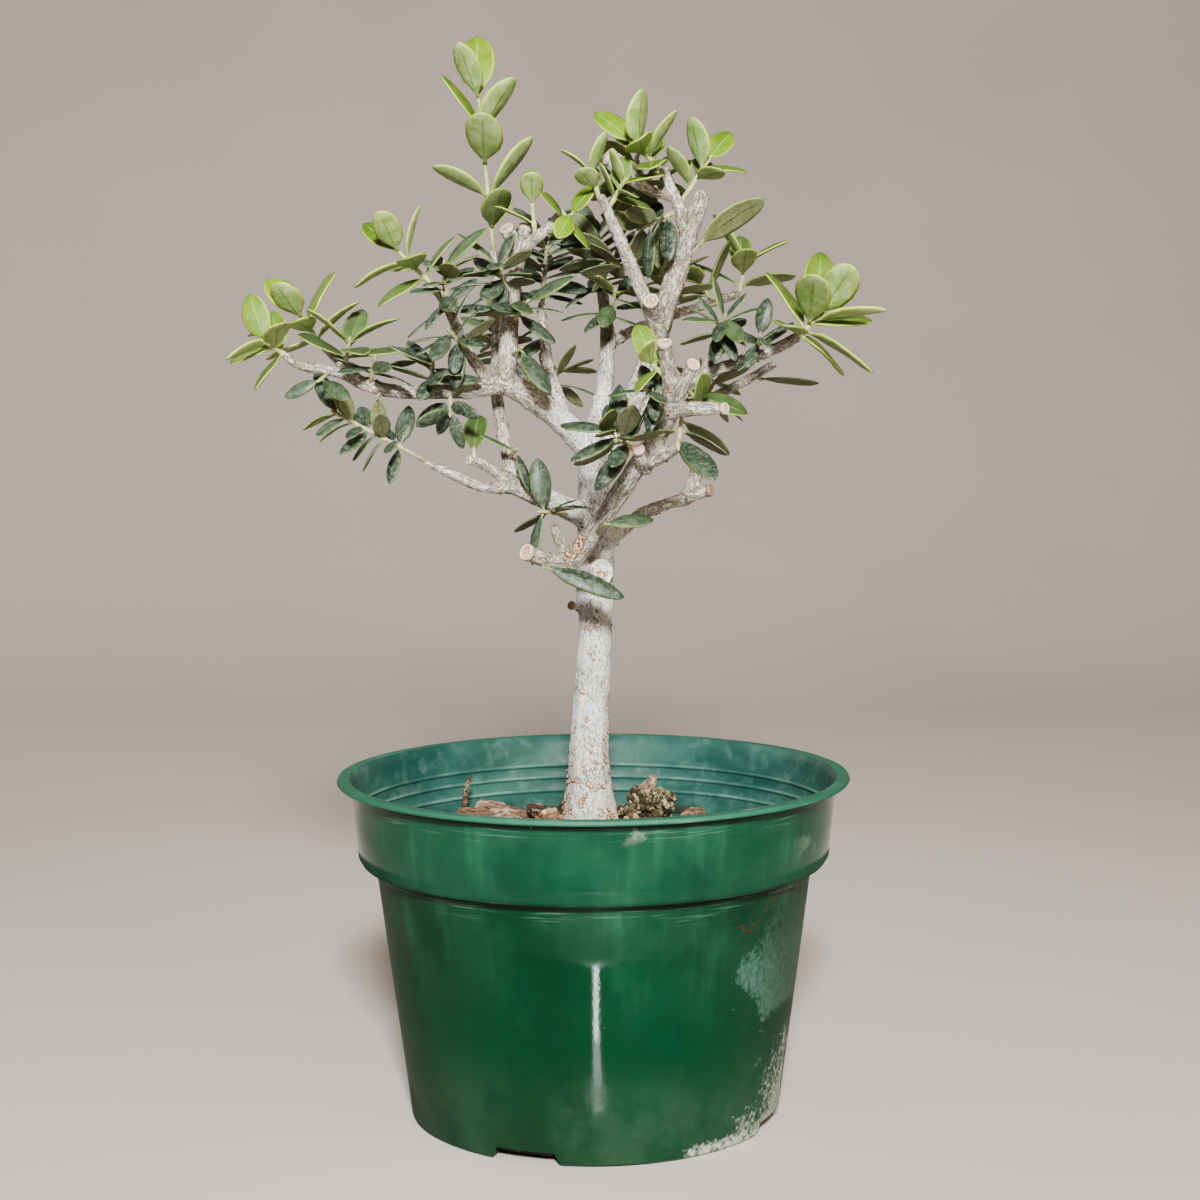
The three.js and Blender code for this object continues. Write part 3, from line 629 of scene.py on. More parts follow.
def scatterCrumbs(ground, size):
    draw = seededDraw(size["seed"])
    templates = crumbTemplates(crumbSize)
    shapes = list(templates.values())
    surface = BVHTree.FromObject(ground, bpy.context.evaluated_depsgraph_get())
    least, more = size["footRing"]
    crumbs = [ground]
    for index in range(size["crumbs"]):
        angle, share = draw(0, 2 * math.pi), draw(0, 1)
        atFoot = index % size["footEvery"] == 0
        radius = least + more * share ** 1.5 if atFoot else size["crumbReach"] * math.sqrt(share)
        above = Vector((radius * math.cos(angle), radius * math.sin(angle), 120)) * millimetre
        spot, _, _, _ = surface.ray_cast(above, Vector((0, 0, -1)))
        if atFoot:
            length = draw(*size["footLength"])
        else:
            length = draw(*size["crumbLength"]) + size["crumbLonger"] * draw(0, 1) ** 4
        leanX, leanY, spin = draw(-0.6, 0.6), draw(-0.5, 0.5), draw(0, 2 * math.pi)
        if spot is None or radius > size["crumbReach"] - length / 2:
            continue
        middle = spot + Vector((0, 0, size["middleRise"] * length * millimetre))
        crumbs.append(strewn(
            "crumb", shapes[int(draw(0, 2.999))], middle,
            turned((spin, "Z"), (leanX, "X"), (leanY, "Y")), length * millimetre,
            "mixMark", [draw(0.3, 0.8), draw(0.55, 1.0) if atFoot else draw(0.0, 1.0), 1.0]))
    for middle, spread, count in size["heaps"]:
        for _ in range(count):
            away = Vector(draw(-1, 1) for _ in range(3))
            turns, length = [draw(0, 6) for _ in range(3)], draw(*size["gritLength"])
            if away.length > 1:
                continue
            crumbs.append(strewn(
                "crumb", templates["lump"], (Vector(middle) + away * Vector(spread)) * millimetre,
                turned((turns[0], "X"), (turns[1], "Z")), length * millimetre,
                "mixMark", [0.6, draw(0.3, 1.0), 1.0]))
    removePieces(shapes)
    return joinPieces("mix_ground", crumbs)


def mixEarth():
    material, coords, inputs = newMaterial("mix_earth_crumbly")
    relief, tone, loose, _ = readMark(material, "mixMark")
    fine = patches(coords, 420.0, 0.35, 0.65, 6.0)
    soil = blend(fine, (38, 28, 21), (84, 66, 50))
    # Painted shade: the ground is darker where it lies low.
    soil = blend(span(relief, 0.3, 0.75), (22, 17, 13), soil)
    bits = ramp(tone, (0.0, 52, 36, 27), (1.0, 196, 176, 142), (0.25, 84, 56, 42),
                (0.5, 112, 82, 62), (0.72, 142, 116, 92), (0.86, 158, 146, 110))
    bits = blend(times(fine, 0.45), bits, (60, 46, 36))
    feed(blend(loose, soil, bits), inputs["Base Color"])
    inputs["Roughness"].default_value = 0.93
    bumpUp(inputs, noiseOf(coords, 800.0, 5.0), 0.5, 0.8)
    return material


mix = copyOfNode("potting_mix", "mix_ground")
remeshed(mix, mixSize["voxel"])
softenMix(mix, mixSize)
shadeSmooth(mix)
mix = scatterCrumbs(mix, mixSize)
finish(mix, "mix_earth", [mixEarth()], "potting_mix")
print("potting mix:", len(mix.data.polygons), "faces")

# The bark chips and the pumice clump: the frame's shapes, roughened all over.
chipSize = {
    "voxel": 0.55,
    "smooth": 3,
    "swell": (3.2, 0.6),               # size, height
    "pits": (1.0, 0.45),
    "grain": (0.3, 1, 1),              # the fibres run along X
    "tones": {"long": 0.55, "leaning": 0.7, "sliver": 0.35, "dark": 0.15, "upright": 0.8, "rear": 0.5},
}
clumpSize = {
    "voxel": 0.5,
    "smooth": 2,
    "swell": (3.2, 1.0),
    "pits": (1.1, 0.8),
    "grain": (1, 1, 1),
    "seed": 3719,
    "crumbs": 700,
    "crumbLength": (0.6, 1.7),
    "bareBelow": -0.4,                 # no crumbs where the surface looks down more than this
}


def roughen(piece, size, shift):
    remeshed(piece, size["voxel"])
    withModifier(piece, "SMOOTH", factor=0.5, iterations=size["smooth"])
    spots = places(piece.data)
    big = fractalAt(spots * size["grain"], size["swell"][0], 3, shift)
    small = -np.abs(fractalAt(spots * size["grain"], size["pits"][0], 3, shift + 9))
    rise = size["swell"][1] * big + size["pits"][1] * (small + 0.25)
    setPlaces(piece.data, spots + outwards(piece.data) * rise[:, None] * millimetre)
    shadeSmooth(piece)
    return big, small


def chipBark():
    material, coords, inputs = newMaterial("chip_bark_flaky")
    relief, tone, _, _ = readMark(material, "chipMark")
    streak = patches(stretched(coords, (150, 900, 900), (0, 0, 0.1)), 1.0, 0.4, 0.6, 7.0)
    flakes = patches(stretched(coords, (120, 420, 420)), 1.0, 0.5, 0.6, 6.0)
    body = ramp(tone, (0.0, 66, 46, 36), (1.0, 214, 194, 170), (0.3, 108, 80, 60),
                (0.6, 152, 122, 96), (0.8, 192, 166, 138))
    tint = blend(streak, blend(0.6, body, (60, 40, 28)), body)
    tint = blend(flakes, tint, blend(0.45, body, (206, 192, 174)))
    # Painted shade: darker in the pits.
    tint = blend(span(relief, 0.42, 0.2), tint, (34, 23, 18))
    feed(tint, inputs["Base Color"])
    inputs["Roughness"].default_value = 0.92
    bumpUp(inputs, plus(streak, flakes), 0.5, 0.9)
    return material


def pumiceStone():
    material, coords, inputs = newMaterial("pumice_crumbly")
    relief, tone, crumb, _ = readMark(material, "chipMark")
    patch = patches(coords, 420.0, 0.34, 0.66, 5.0)
    bits = ramp(tone, (0.0, 22, 19, 15), (1.0, 184, 176, 148), (0.34, 36, 31, 23),
                (0.46, 92, 82, 58), (0.8, 138, 128, 98))
    tint = blend(times(patch, 0.5), bits, (88, 78, 52))
    holes, _ = specked(coords, 900.0, 0.36, 0.4)
    tint = blend(times(holes, 0.7), tint, (60, 46, 30))
    # Painted shade: the clump under its crumbs is darker where it lies deep.
    core = blend(span(relief, 0.2, 0.7), (20, 15, 11), (92, 76, 48))
    feed(blend(crumb, core, tint), inputs["Base Color"])
    inputs["Roughness"].default_value = 0.95
    bumpUp(inputs, minus(patch, holes), 0.5, 0.9)
    return material


def coverWithCrumbs(piece, size):
    # Small rough lumps stuck all over the upper side of a piece, each with a tone of its own.
    draw = seededDraw(size["seed"])
    templates = crumbTemplates(crumbSize)
    spots, normals = places(piece.data), outwards(piece.data)
    crumbs = [piece]
    while len(crumbs) <= size["crumbs"]:
        index = int(draw(0, len(spots) - 1))
        length, turns, tone = draw(*size["crumbLength"]), [draw(0, 6) for _ in range(3)], draw(0, 1)
        if normals[index][2] < size["bareBelow"]:
            continue
        crumbs.append(strewn(
            "crumb", templates["lump"], Vector(spots[index] + normals[index] * 0.1 * millimetre),
            turned(*zip(turns, "XYZ")), length * millimetre, "chipMark", [0.5, tone, 1.0]))
    removePieces(templates.values())
    return joinPieces(piece.name, crumbs)


barkFinish = chipBark()
for order, (name, tone) in enumerate(chipSize["tones"].items()):
    chip = copyOfNode("bark_chip_" + name, "chip_" + name)
    big, small = roughen(chip, chipSize, 3.7 * order)
    setMark(chip.data, "chipMark", [0.6 + 0.6 * small + 0.1 * big, tone + 0.08 * big, 0.0])
    finish(chip, "chip_bark", [barkFinish], "bark_chip_" + name)
clump = copyOfNode("pumice_clump", "pumice_lumps")
big, small = roughen(clump, clumpSize, 2.1)
setMark(clump.data, "chipMark", [0.6 + 0.6 * small, 0.5, 0.0])
clump = coverWithCrumbs(clump, clumpSize)
finish(clump, "pumice", [pumiceStone()], "pumice_clump")
print("chips and pumice made")

# The wood: trunk and limbs as one fine mesh, with sawn ends and pores set on it.
woodSize = {
    "voxel": 0.68,
    "smooth": 9,
    "grow": 0.16,                              # puts back what the smoothing takes off
    "knobs": (6.5, 0.42),                      # size, height
    "warts": (2.1, 0.16),
    "fibres": (1.5, 0.22),
    "flowShort": 0.16,                         # how much the bark's pattern is drawn out along a limb
    "flowApart": 13.7,                         # from the pattern of one limb to the next one's
    "trunkFade": (9, 12),                      # pale smooth bark this far out, and how far it dies down
    "trunkWithin": 12,                         # from the axis, for its pores
    "trunkTop": 215,
    "poreSeed": 5087,
    "pores": 640,
    "poresFrom": 86,
    "footTop": 135,                            # below it the pores grow larger and more
    "footHeight": 35,
    "poreShare": (0.22, 0.42),                 # of the places tried, on the trunk and on the limbs
    "poreWide": (0.48, 0.8),                   # radius on the limbs, at the foot
    "poreShape": (1, 0.85, 0.6),
    "poreProud": 0.16,                         # how far it stands out, in its radii
}
# Pores that lie close together: the two ends of their row, how far they stray, how many, their radius.
poreRows = [
    ((-2.6, -21.8, 188.4), (-7.2, -18.5, 181.6), 1.1, 30, 0.72),       # a crust on the front limb
    ((1.0, -8.8, 178), (3.8, -7.6, 175.0), 1.2, 14, 0.46),
    ((-2.6, -5, 158.6), (1.4, -5, 158.4), 0.8, 7, 0.5),
    ((-3.3, -4.7, 138.3), (-3.0, -4.7, 137.2), 0.6, 6, 0.55),
    ((-2.0, -5.6, 129.8), (-2.0, -5.7, 128.1), 0.05, 3, 0.5),
    ((-5.8, -3.4, 124.9), (-5.9, -3.4, 124.5), 0.1, 2, 0.55),
    ((3.5, -3.7, 123.3), (4.0, -3.4, 121), 0.5, 3, 0.45),
    ((-6.5, -3.9, 114.2), (-6.5, -3.9, 113.9), 0.2, 2, 0.62),
    ((1.2, -5.7, 115.5), (0.9, -6, 113), 0.2, 3, 0.5),
    ((-2.9, -6.2, 114), (-2.6, -6.6, 111.1), 0.3, 3, 0.5),
    ((-6.5, -4.7, 109.2), (-3.9, -6.3, 109.1), 0.3, 5, 0.66),
    ((-1.6, -7.2, 108.7), (-0.9, -7.2, 107.9), 0.8, 7, 0.62),
    ((2.2, -6.0, 108.4), (2.3, -6, 108.2), 0.3, 2, 0.5),
    ((4.1, -3, 115.1), (4.4, -3, 111.8), 0.3, 4, 0.5),
    ((-3.9, -7.1, 103.4), (-3.8, -7.1, 101.4), 0.9, 10, 0.66),
    ((-8.9, -2, 104.4), (-8.7, -2, 102.2), 0.7, 8, 0.6),
    ((-7.6, -2, 110.4), (-7.4, -1.6, 107.4), 0.5, 6, 0.55),
    ((3.2, -7, 99.2), (6.6, -4.9, 97.6), 1.4, 14, 0.55),
    ((-8.6, -4.3, 99), (-6.8, -5.4, 97.4), 1.3, 8, 0.5),
    ((7.2, 0, 103), (6.6, 0.4, 107), 0.8, 6, 0.5),
]
# The centre lines of the wood with their radius, from root to end, as the frame has them.
limbs = {
    "trunk": [[-1, 0, 67, 9], [-1, 0, 86.6, 10.6], [-1, 0, 93.2, 9.7], [-1.2, 0, 100, 8.5],
        [-1.4, 0, 107.7, 7.3], [-1.4, 0, 117.5, 6.5], [-0.9, 0, 129.5, 6], [0.1, 0, 142.5, 5.7],
        [0.9, 0, 154, 5.4], [0.9, 0, 164.2, 5.7], [0.9, 0, 173.3, 6.3], [0.9, 0, 182.3, 6.1],
        [1.2, 0, 192.5, 5.4], [0.9, 0, 202, 5.1], [0, 0, 212.3, 4.9], [-1, 1, 220.6, 4.3]],
    "scar": [[1.2, 0, 175.2, 5.2], [2.2, -5, 175.9, 5.2], [2.8, -7.5, 176.2, 4]],
    "knob": [[-0.7, 0, 163.3, 1.9], [-4.2, -2, 164.4, 1.8], [-6.8, -4, 165.6, 1.3]],
    "centreBack": [[-0.4, 0, 216.2, 3.9], [1.9, 6, 224.3, 3.4], [4.5, 14, 234.5, 2.9], [5.5, 20, 246, 2.7],
        [5.2, 26, 256, 2.4], [3.9, 31, 266, 2]],
    "leftMain": [[0.6, 0, 213, 4.3], [-5.8, -1, 221, 4.2], [-15, -3, 229, 4], [-22.8, -4, 234.3, 3.9],
        [-28.5, -5, 236.8, 3.7]],
    "farLeft": [[-27.2, -5, 236, 3], [-33, -6, 235, 2.8], [-40.4, -8, 234, 2.6], [-47.8, -9, 233.7, 2.5],
        [-56, -11, 233.7, 2.4], [-64, -12, 234.4, 2.3], [-71.3, -13, 236.6, 2.3], [-75, -14, 239, 2.1]],
    "farLeftUpper": [[-72, -13, 237, 2], [-77, -12, 242, 1.9], [-80.5, -11, 246, 1.7],
        [-84.7, -10, 249, 1.4]],
    "farLeftLower": [[-73, -14, 238, 2.1], [-79, -17, 240.3, 1.9], [-84.8, -20, 241, 1.8],
        [-90, -23, 242.5, 1.7], [-94, -25, 245.5, 1.4]],
    "leftUpright": [[-28, -5, 236, 3.5], [-26.3, -5, 243, 3.3], [-25.6, -4, 250, 3.2], [-25.3, -3, 257.6, 3],
        [-24.7, -3, 265.4, 2.9], [-23.4, -3, 273, 2.8], [-22.4, -3, 280, 2.8]],
    "uprightStubA": [[-22.8, -3, 276.7, 2.3], [-24.3, -4, 281, 2.4], [-26.1, -6, 284.6, 2.3]],
    "uprightStubB": [[-22.7, -3, 277.3, 2.2], [-21.5, -1, 281, 2.3], [-20.3, 0, 285.3, 2.2]],
    "uprightSide": [[-23, -3, 276.7, 2.3], [-18.3, -4, 280.7, 2.2], [-14.5, -5, 283.4, 2],
        [-11, -6, 286.5, 1.9], [-7.9, -7, 289.8, 1.9]],
    "leftTwig": [[-31, -6, 235.3, 2], [-35, -9, 241, 1.9], [-38.8, -12, 247, 1.7], [-42.4, -14, 255.2, 1.6],
        [-45, -15, 261.6, 1.5], [-50, -16, 267.4, 1.3]],
    "backLeft": [[-7, 2, 221.2, 2.4], [-9.7, 9, 229.4, 2.2], [-13.7, 17, 240.3, 2], [-15.5, 24, 251.7, 1.8],
        [-16.2, 30, 262.2, 1.5]],
    "behindUpright": [[-25, -3, 204.5, 2.6], [-26.5, 0, 213.3, 2.3], [-28.6, 4, 222.7, 2.2],
        [-30.3, 8, 231.3, 2.2], [-30.3, 10, 241, 2.1], [-30, 11, 253, 1.9], [-30, 12, 266, 1.8],
        [-31, 12, 279.3, 1.5]],
    "lowLeft": [[1.9, -1, 190.7, 4.2], [-4.8, -3, 195, 3.7], [-12.8, -4, 198.8, 3.5], [-19.8, -4, 202, 3.5],
        [-25.4, -5, 204, 2.9], [-30, -6, 203, 1.9], [-35, -6, 203.7, 1.8], [-40.6, -7, 206, 1.7],
        [-47.4, -8, 209.2, 1.5], [-53, -9, 212.4, 1.2]],
    "lowStub": [[-24.8, -5, 205, 2], [-29.8, -6, 208, 1.8], [-34.8, -7, 211.3, 1.6], [-38.6, -8, 212.3, 1.5]],
    "rightUpright": [[0.9, 1, 206, 4], [5.1, 5, 215.4, 3.8], [11.5, 8, 226.8, 3.7], [16.6, 6, 237.7, 3.7],
        [20, 3, 248, 3.7], [22.2, 1, 255.5, 3.8], [25, 0, 263.6, 3.7], [27.8, -1, 271.7, 3.6],
        [30, -2, 278.3, 3.2], [32, -3, 284.8, 2.9], [34.2, -4, 291.2, 2.6], [35.7, -5, 296, 2.5]],
    "frontDiagonal": [[21.8, 0, 253, 2.7], [18.6, -3, 259.5, 2.6], [15.3, -6, 267.2, 2.4],
        [12.4, -9, 274, 2.3], [9.3, -12, 281, 2], [6.1, -15, 288, 1.8], [3.3, -17, 294, 1.5]],
    "forkStub": [[22.1, 0, 255.4, 2.6], [20.4, -4, 258.8, 2.5], [19, -9, 261.8, 2.4]],
    "topRightSide": [[31.2, -2, 281, 2.4], [28.5, -4, 289.7, 2.1], [25.6, -5, 296.4, 1.9],
        [23, -6, 303.2, 1.7]],
    "crownStub": [[26.6, -4.6, 294, 1.6], [19.5, -6.5, 295.6, 1.6], [14, -8, 299, 2.2],
        [10, -9, 302.6, 3.6], [5.6, -10, 306.6, 3]],
    "right": [[7.6, 6, 219.2, 2.9], [15.4, 9, 226.8, 2.6], [24.4, 8, 232.6, 2.3], [34.5, 4, 237.7, 2.1],
        [41.3, 1, 240.6, 2], [47.5, -1, 242.8, 2], [54.4, -3, 245, 1.9], [61.2, -4, 248, 1.9],
        [65.8, -5, 250.6, 1.7]],
    "rightStub": [[34.5, 4, 237.7, 1.8], [38.6, 4, 244.4, 1.8], [44.6, 3, 248.8, 1.7]],
    "rightLower": [[15.4, 9, 226.8, 2.2], [26, 17, 227.3, 2], [38, 22, 230.5, 1.8], [50.2, 25, 236, 1.6],
        [60.8, 27, 242, 1.5]],
    "backStub": [[3.1, 2, 183.4, 3.3], [9.7, 10, 188.6, 2.5], [17.2, 16, 194, 2.1], [25, 20, 196.5, 2.1],
        [32, 23, 198.3, 2.5]],
    "backStubUp": [[30.2, 22, 197.7, 2.2], [33.6, 24, 202.5, 2.5], [34.6, 25, 207, 2.2]],
    "backStubEnd": [[30.2, 22, 198, 2], [35.5, 22, 199.7, 2], [39, 21, 200.7, 2]],
    "front": [[1.2, 0, 170.7, 4.6], [-3.2, -8, 176.5, 3.9], [-6, -14, 180.8, 3.6], [-1.3, -19, 187.2, 3.2],
        [3.3, -24, 194, 3.1], [8.8, -31, 202.8, 3.1], [14.2, -38, 211.4, 3.2], [19, -45, 219.4, 3.4],
        [22.5, -51, 226, 3.4], [24.4, -56, 231, 3]],
    "frontStubLeft": [[-3.8, -12, 178.8, 3.2], [-9.5, -17, 180.5, 2.9], [-14.7, -21, 181.7, 2.7],
        [-20.2, -26, 184.3, 2.5]],
    "frontStubUp": [[23.9, -54, 229.2, 2.8], [23.4, -60, 236, 2.5], [22.3, -64, 242.7, 2.4],
        [21.6, -67, 248, 2.2]],
    "frontStubMid": [[24.4, -55, 229.8, 2.3], [27.4, -61, 236.3, 2.1], [30, -66, 241.8, 2]],
    "frontStubRight": [[23.6, -54, 228, 2.5], [31, -60, 229, 2.2], [39.2, -65, 229, 1.7]],
    "frontNubLeft": [[17, -39, 210.2, 2.3], [15.2, -45, 214, 2.3], [14.3, -48, 216.6, 1.9]],
    "frontNubRight": [[18, -42, 212.7, 2.4], [22.7, -47, 215.3, 2.2], [26.7, -51, 217.6, 1.6]],
    "frontTwig": [[-7, -15, 181, 2], [-9.8, -18, 186.5, 1.7], [-12.2, -20, 192.6, 1.4]],
    "behindRight": [[5.5, 21, 248.4, 2], [16, 36, 254.2, 1.9], [29, 50, 259, 1.8], [41, 60, 262.7, 1.7],
        [51, 66, 266.3, 1.5]],
    "behindLeft": [[0.3, 2, 208.4, 3], [-3.3, 16, 217.6, 2.6], [-10, 32, 227, 2.3], [-18.3, 46, 235.2, 2],
        [-26.4, 56, 242, 1.7]],
    "behindMid": [[15.3, 7, 235.2, 2.6], [19.6, 24, 244.8, 2.2], [25.3, 40, 254.2, 1.9],
        [27, 52, 263.8, 1.6]],
}
# The radius of the sawn ends, by the limb that is cut.
sawnEnds = {
    "frontStubLeft": 2.6, "scar": 4.2, "knob": 1.4, "crownStub": 3.0, "frontStubUp": 2.2, "frontStubMid": 2.0,
    "frontStubRight": 1.8, "forkStub": 2.4, "uprightStubA": 2.3, "uprightStubB": 2.2, "leftUpright": 2.6,
    "lowStub": 1.5, "rightStub": 1.7, "backStubUp": 2.2, "backStubEnd": 2.0, "frontNubLeft": 1.9,
    "frontNubRight": 1.6,
}
sawnSize = {
    "seed": 733,
    "sides": 14,
    # A callus ring round a slightly sunk face with a raised pith, as radius and height.
    "rings": [(1.02, -0.6), (1.03, 0.0), (0.93, 0.15), (0.8, 0.05), (0.6, -0.07), (0.32, 0.02), (0.18, 0.09),
              (0.08, 0.05)],
    "proud": 0.2,                      # how far it stands before the end of its limb
    "tilt": 0.16,
    "healed": ["scar"],                # grown over, and lumpy
    "dead": ["knob", "backStubUp", "backStubEnd"],
}


def limbFrames(points):
    # At every point of a centre line: along it, and two directions across that don't spin.
    points = np.array(points, float)[:, :3]
    steps = np.diff(points, axis=0)
    lengths = np.concatenate([[0], np.cumsum(np.linalg.norm(steps, axis=1))])
    along = np.vstack([steps[:1], steps[1:] + steps[:-1], steps[-1:]])
    along /= np.linalg.norm(along, axis=1)[:, None]
    up, ups = np.array([0.31, 0.83, 0.46]), []
    for direction in along:
        up = up - direction * up.dot(direction)
        up = up / np.linalg.norm(up)
        ups.append(up)
    ups = np.array(ups)
    return points, lengths, ups, np.cross(along, ups)


def barkFlow(spots, size):
    # Where each point lies in its own limb, in millimetres: two distances across and a shortened one along.
    best = np.full(len(spots), 1e9)
    flow = np.zeros((len(spots), 3))
    for order, row in enumerate(limbs.values()):
        points, lengths, ups, sides = limbFrames(row)
        for k in range(len(points) - 1):
            step = points[k + 1] - points[k]
            share = np.clip((spots - points[k]) @ step / step.dot(step), 0, 1)
            offset = spots - points[k] - share[:, None] * step
            radius = row[k][3] + (row[k + 1][3] - row[k][3]) * share
            gap = np.linalg.norm(offset, axis=1) / radius
            up = ups[k] + share[:, None] * (ups[k + 1] - ups[k])
            side = sides[k] + share[:, None] * (sides[k + 1] - sides[k])
            reach = lengths[k] + share * (lengths[k + 1] - lengths[k])
            near = gap < best
            best[near] = gap[near]
            local = np.stack([(offset * up).sum(1), (offset * side).sum(1), size["flowShort"] * reach], 1)
            flow[near] = (local + size["flowApart"] * order)[near]
    return flow


def makeWood(size):
    wood = copyOfNode("olive_wood", "olive_timber")
    remeshed(wood, size["voxel"])
    withModifier(wood, "SMOOTH", factor=0.5, iterations=size["smooth"])
    spots = places(wood.data)
    flow = barkFlow(spots / millimetre, size)
    fibres = fractalAt(flow * millimetre, size["fibres"][0], 4, 2.7)
    full, fade = size["trunkFade"]
    trunkward = np.clip(1 - (np.hypot(spots[:, 0], spots[:, 1]) / millimetre - full) / fade, 0, 1)
    knobs = fractalAt(spots, size["knobs"][0], 2)
    warts = fractalAt(spots, size["warts"][0], 3, 11.0)
    rise = size["grow"] + size["knobs"][1] * knobs * (0.45 + 0.55 * trunkward) + size["warts"][1] * warts
    rise = rise + size["fibres"][1] * fibres * (1 - 0.6 * trunkward)
    setPlaces(wood.data, spots + outwards(wood.data) * rise[:, None] * millimetre)
    shadeSmooth(wood)
    setMark(wood.data, "barkMark", [0.5 + 0.25 * warts + 0.25 * fibres, 0.0, 0.0, trunkward])
    setMark(wood.data, "barkFlow", flow.T)
    return wood


def sawnTemplate(size):
    rings = size["rings"]
    radius, height = rings[0]
    bpy.ops.object.select_all(action="DESELECT")
    bpy.ops.mesh.primitive_circle_add(vertices=size["sides"], radius=radius * millimetre, fill_type="NGON",
                                      location=(0, 0, height * millimetre))
    face = bpy.context.object
    bpy.ops.object.transform_apply(location=True)
    editAll(face)
    for before, after in zip(rings, rings[1:]):
        extrudeRing(before, after)
    turnFacesOut()
    return face


def aimed(direction, spin):
    # Turns a shape's Z to the direction, after a spin about its own Z.
    return direction.to_track_quat("Z", "Y").to_matrix().to_4x4() @ Matrix.Rotation(spin, 4, "Z")


def addSawnEnds(size):
    template = sawnTemplate(size)
    shadeSmooth(template)
    draw = seededDraw(size["seed"])
    faces = []
    for name, radius in sawnEnds.items():
        before, end = [Vector(point[:3]) for point in limbs[name][-2:]]
        along = (end - before).normalized()
        turn = aimed(along, draw(0, 6))
        tilt = Matrix.Rotation(draw(-size["tilt"], size["tilt"]), 4, "X")
        face = newPiece("sawn_end", template.data.copy())
        share = np.hypot(*places(face.data)[:, :2].T) / millimetre
        healed = name in size["healed"]
        for vertex in face.data.vertices:
            lump = 1 + (0.3 if healed else 0.1) * noise.noise(vertex.co * 900 + along * 7)
            vertex.co = vertex.co * lump
        place = Matrix.Translation((end + size["proud"] * along) * millimetre)
        face.data.transform(place @ turn @ tilt @ Matrix.Scale(radius, 4))
        kind = [0.0, 0.0, 1.0] if healed else [0.3, 0.4, 0.3] if name in size["dead"] else [0.0, 1.0, share]
        setMark(face.data, "barkMark", [0.55] + kind)
        faces.append(face)
    removePieces([template])
    return faces


def poreTemplate(size):
    # A flat dome, and how pale each point of it is: dark at the rim and tan on top.
    bpy.ops.object.select_all(action="DESELECT")
    bpy.ops.mesh.primitive_ico_sphere_add(subdivisions=2, radius=millimetre)
    template = bpy.context.object
    editAll(template)
    bpy.ops.transform.resize(value=size["poreShape"], center_override=(0, 0, 0))
    endEdit()
    shadeSmooth(template)
    height = np.clip(places(template.data)[:, 2] / (size["poreShape"][2] * millimetre), 0, 1)
    return template, 0.2 + 0.8 * height ** 1.6


def addPores(wood, size, own):
    template, domed = poreTemplate(size)
    draw = seededDraw(size["poreSeed"])
    spots, normals = places(wood.data), outwards(wood.data)
    pores = []
    low, high = size["poreWide"]
    onTrunk, onLimbs = size["poreShare"]

    def stick(spot, normal, radius, trunk):
        pores.append(strewn("pore", template, spot + normal * size["poreProud"] * radius * millimetre,
                            aimed(normal, draw(0, 6)), radius, "barkMark", [0.6, domed, 0.0, trunk]))

    while len(pores) < size["pores"]:
        index = int(draw(0, own - 1))
        x, y, z = spots[index] / millimetre
        chance, wide = draw(0, 1), draw(0.75, 1.3)
        trunk = math.hypot(x, y) < size["trunkWithin"] and z < size["trunkTop"]
        foot = min(1, max(0, (size["footTop"] - z) / size["footHeight"])) if trunk else 0
        if z < size["poresFrom"] or chance > (onTrunk + 0.3 * foot if trunk else onLimbs):
            continue
        stick(Vector(spots[index]), Vector(normals[index]), wide * (low + (high - low) * foot), float(trunk))
    surface = BVHTree.FromObject(wood, bpy.context.evaluated_depsgraph_get())
    for start, end, stray, count, radius in poreRows:
        for _ in range(count):
            spot = Vector(start).lerp(Vector(end), draw(0, 1))
            spot = spot + stray * Vector(draw(-1, 1) for _ in range(3))
            hit, normal, _, _ = surface.find_nearest(spot * millimetre)
            stick(hit, normal, radius * draw(0.9, 1.5), 1.0)
    removePieces([template])
    return pores


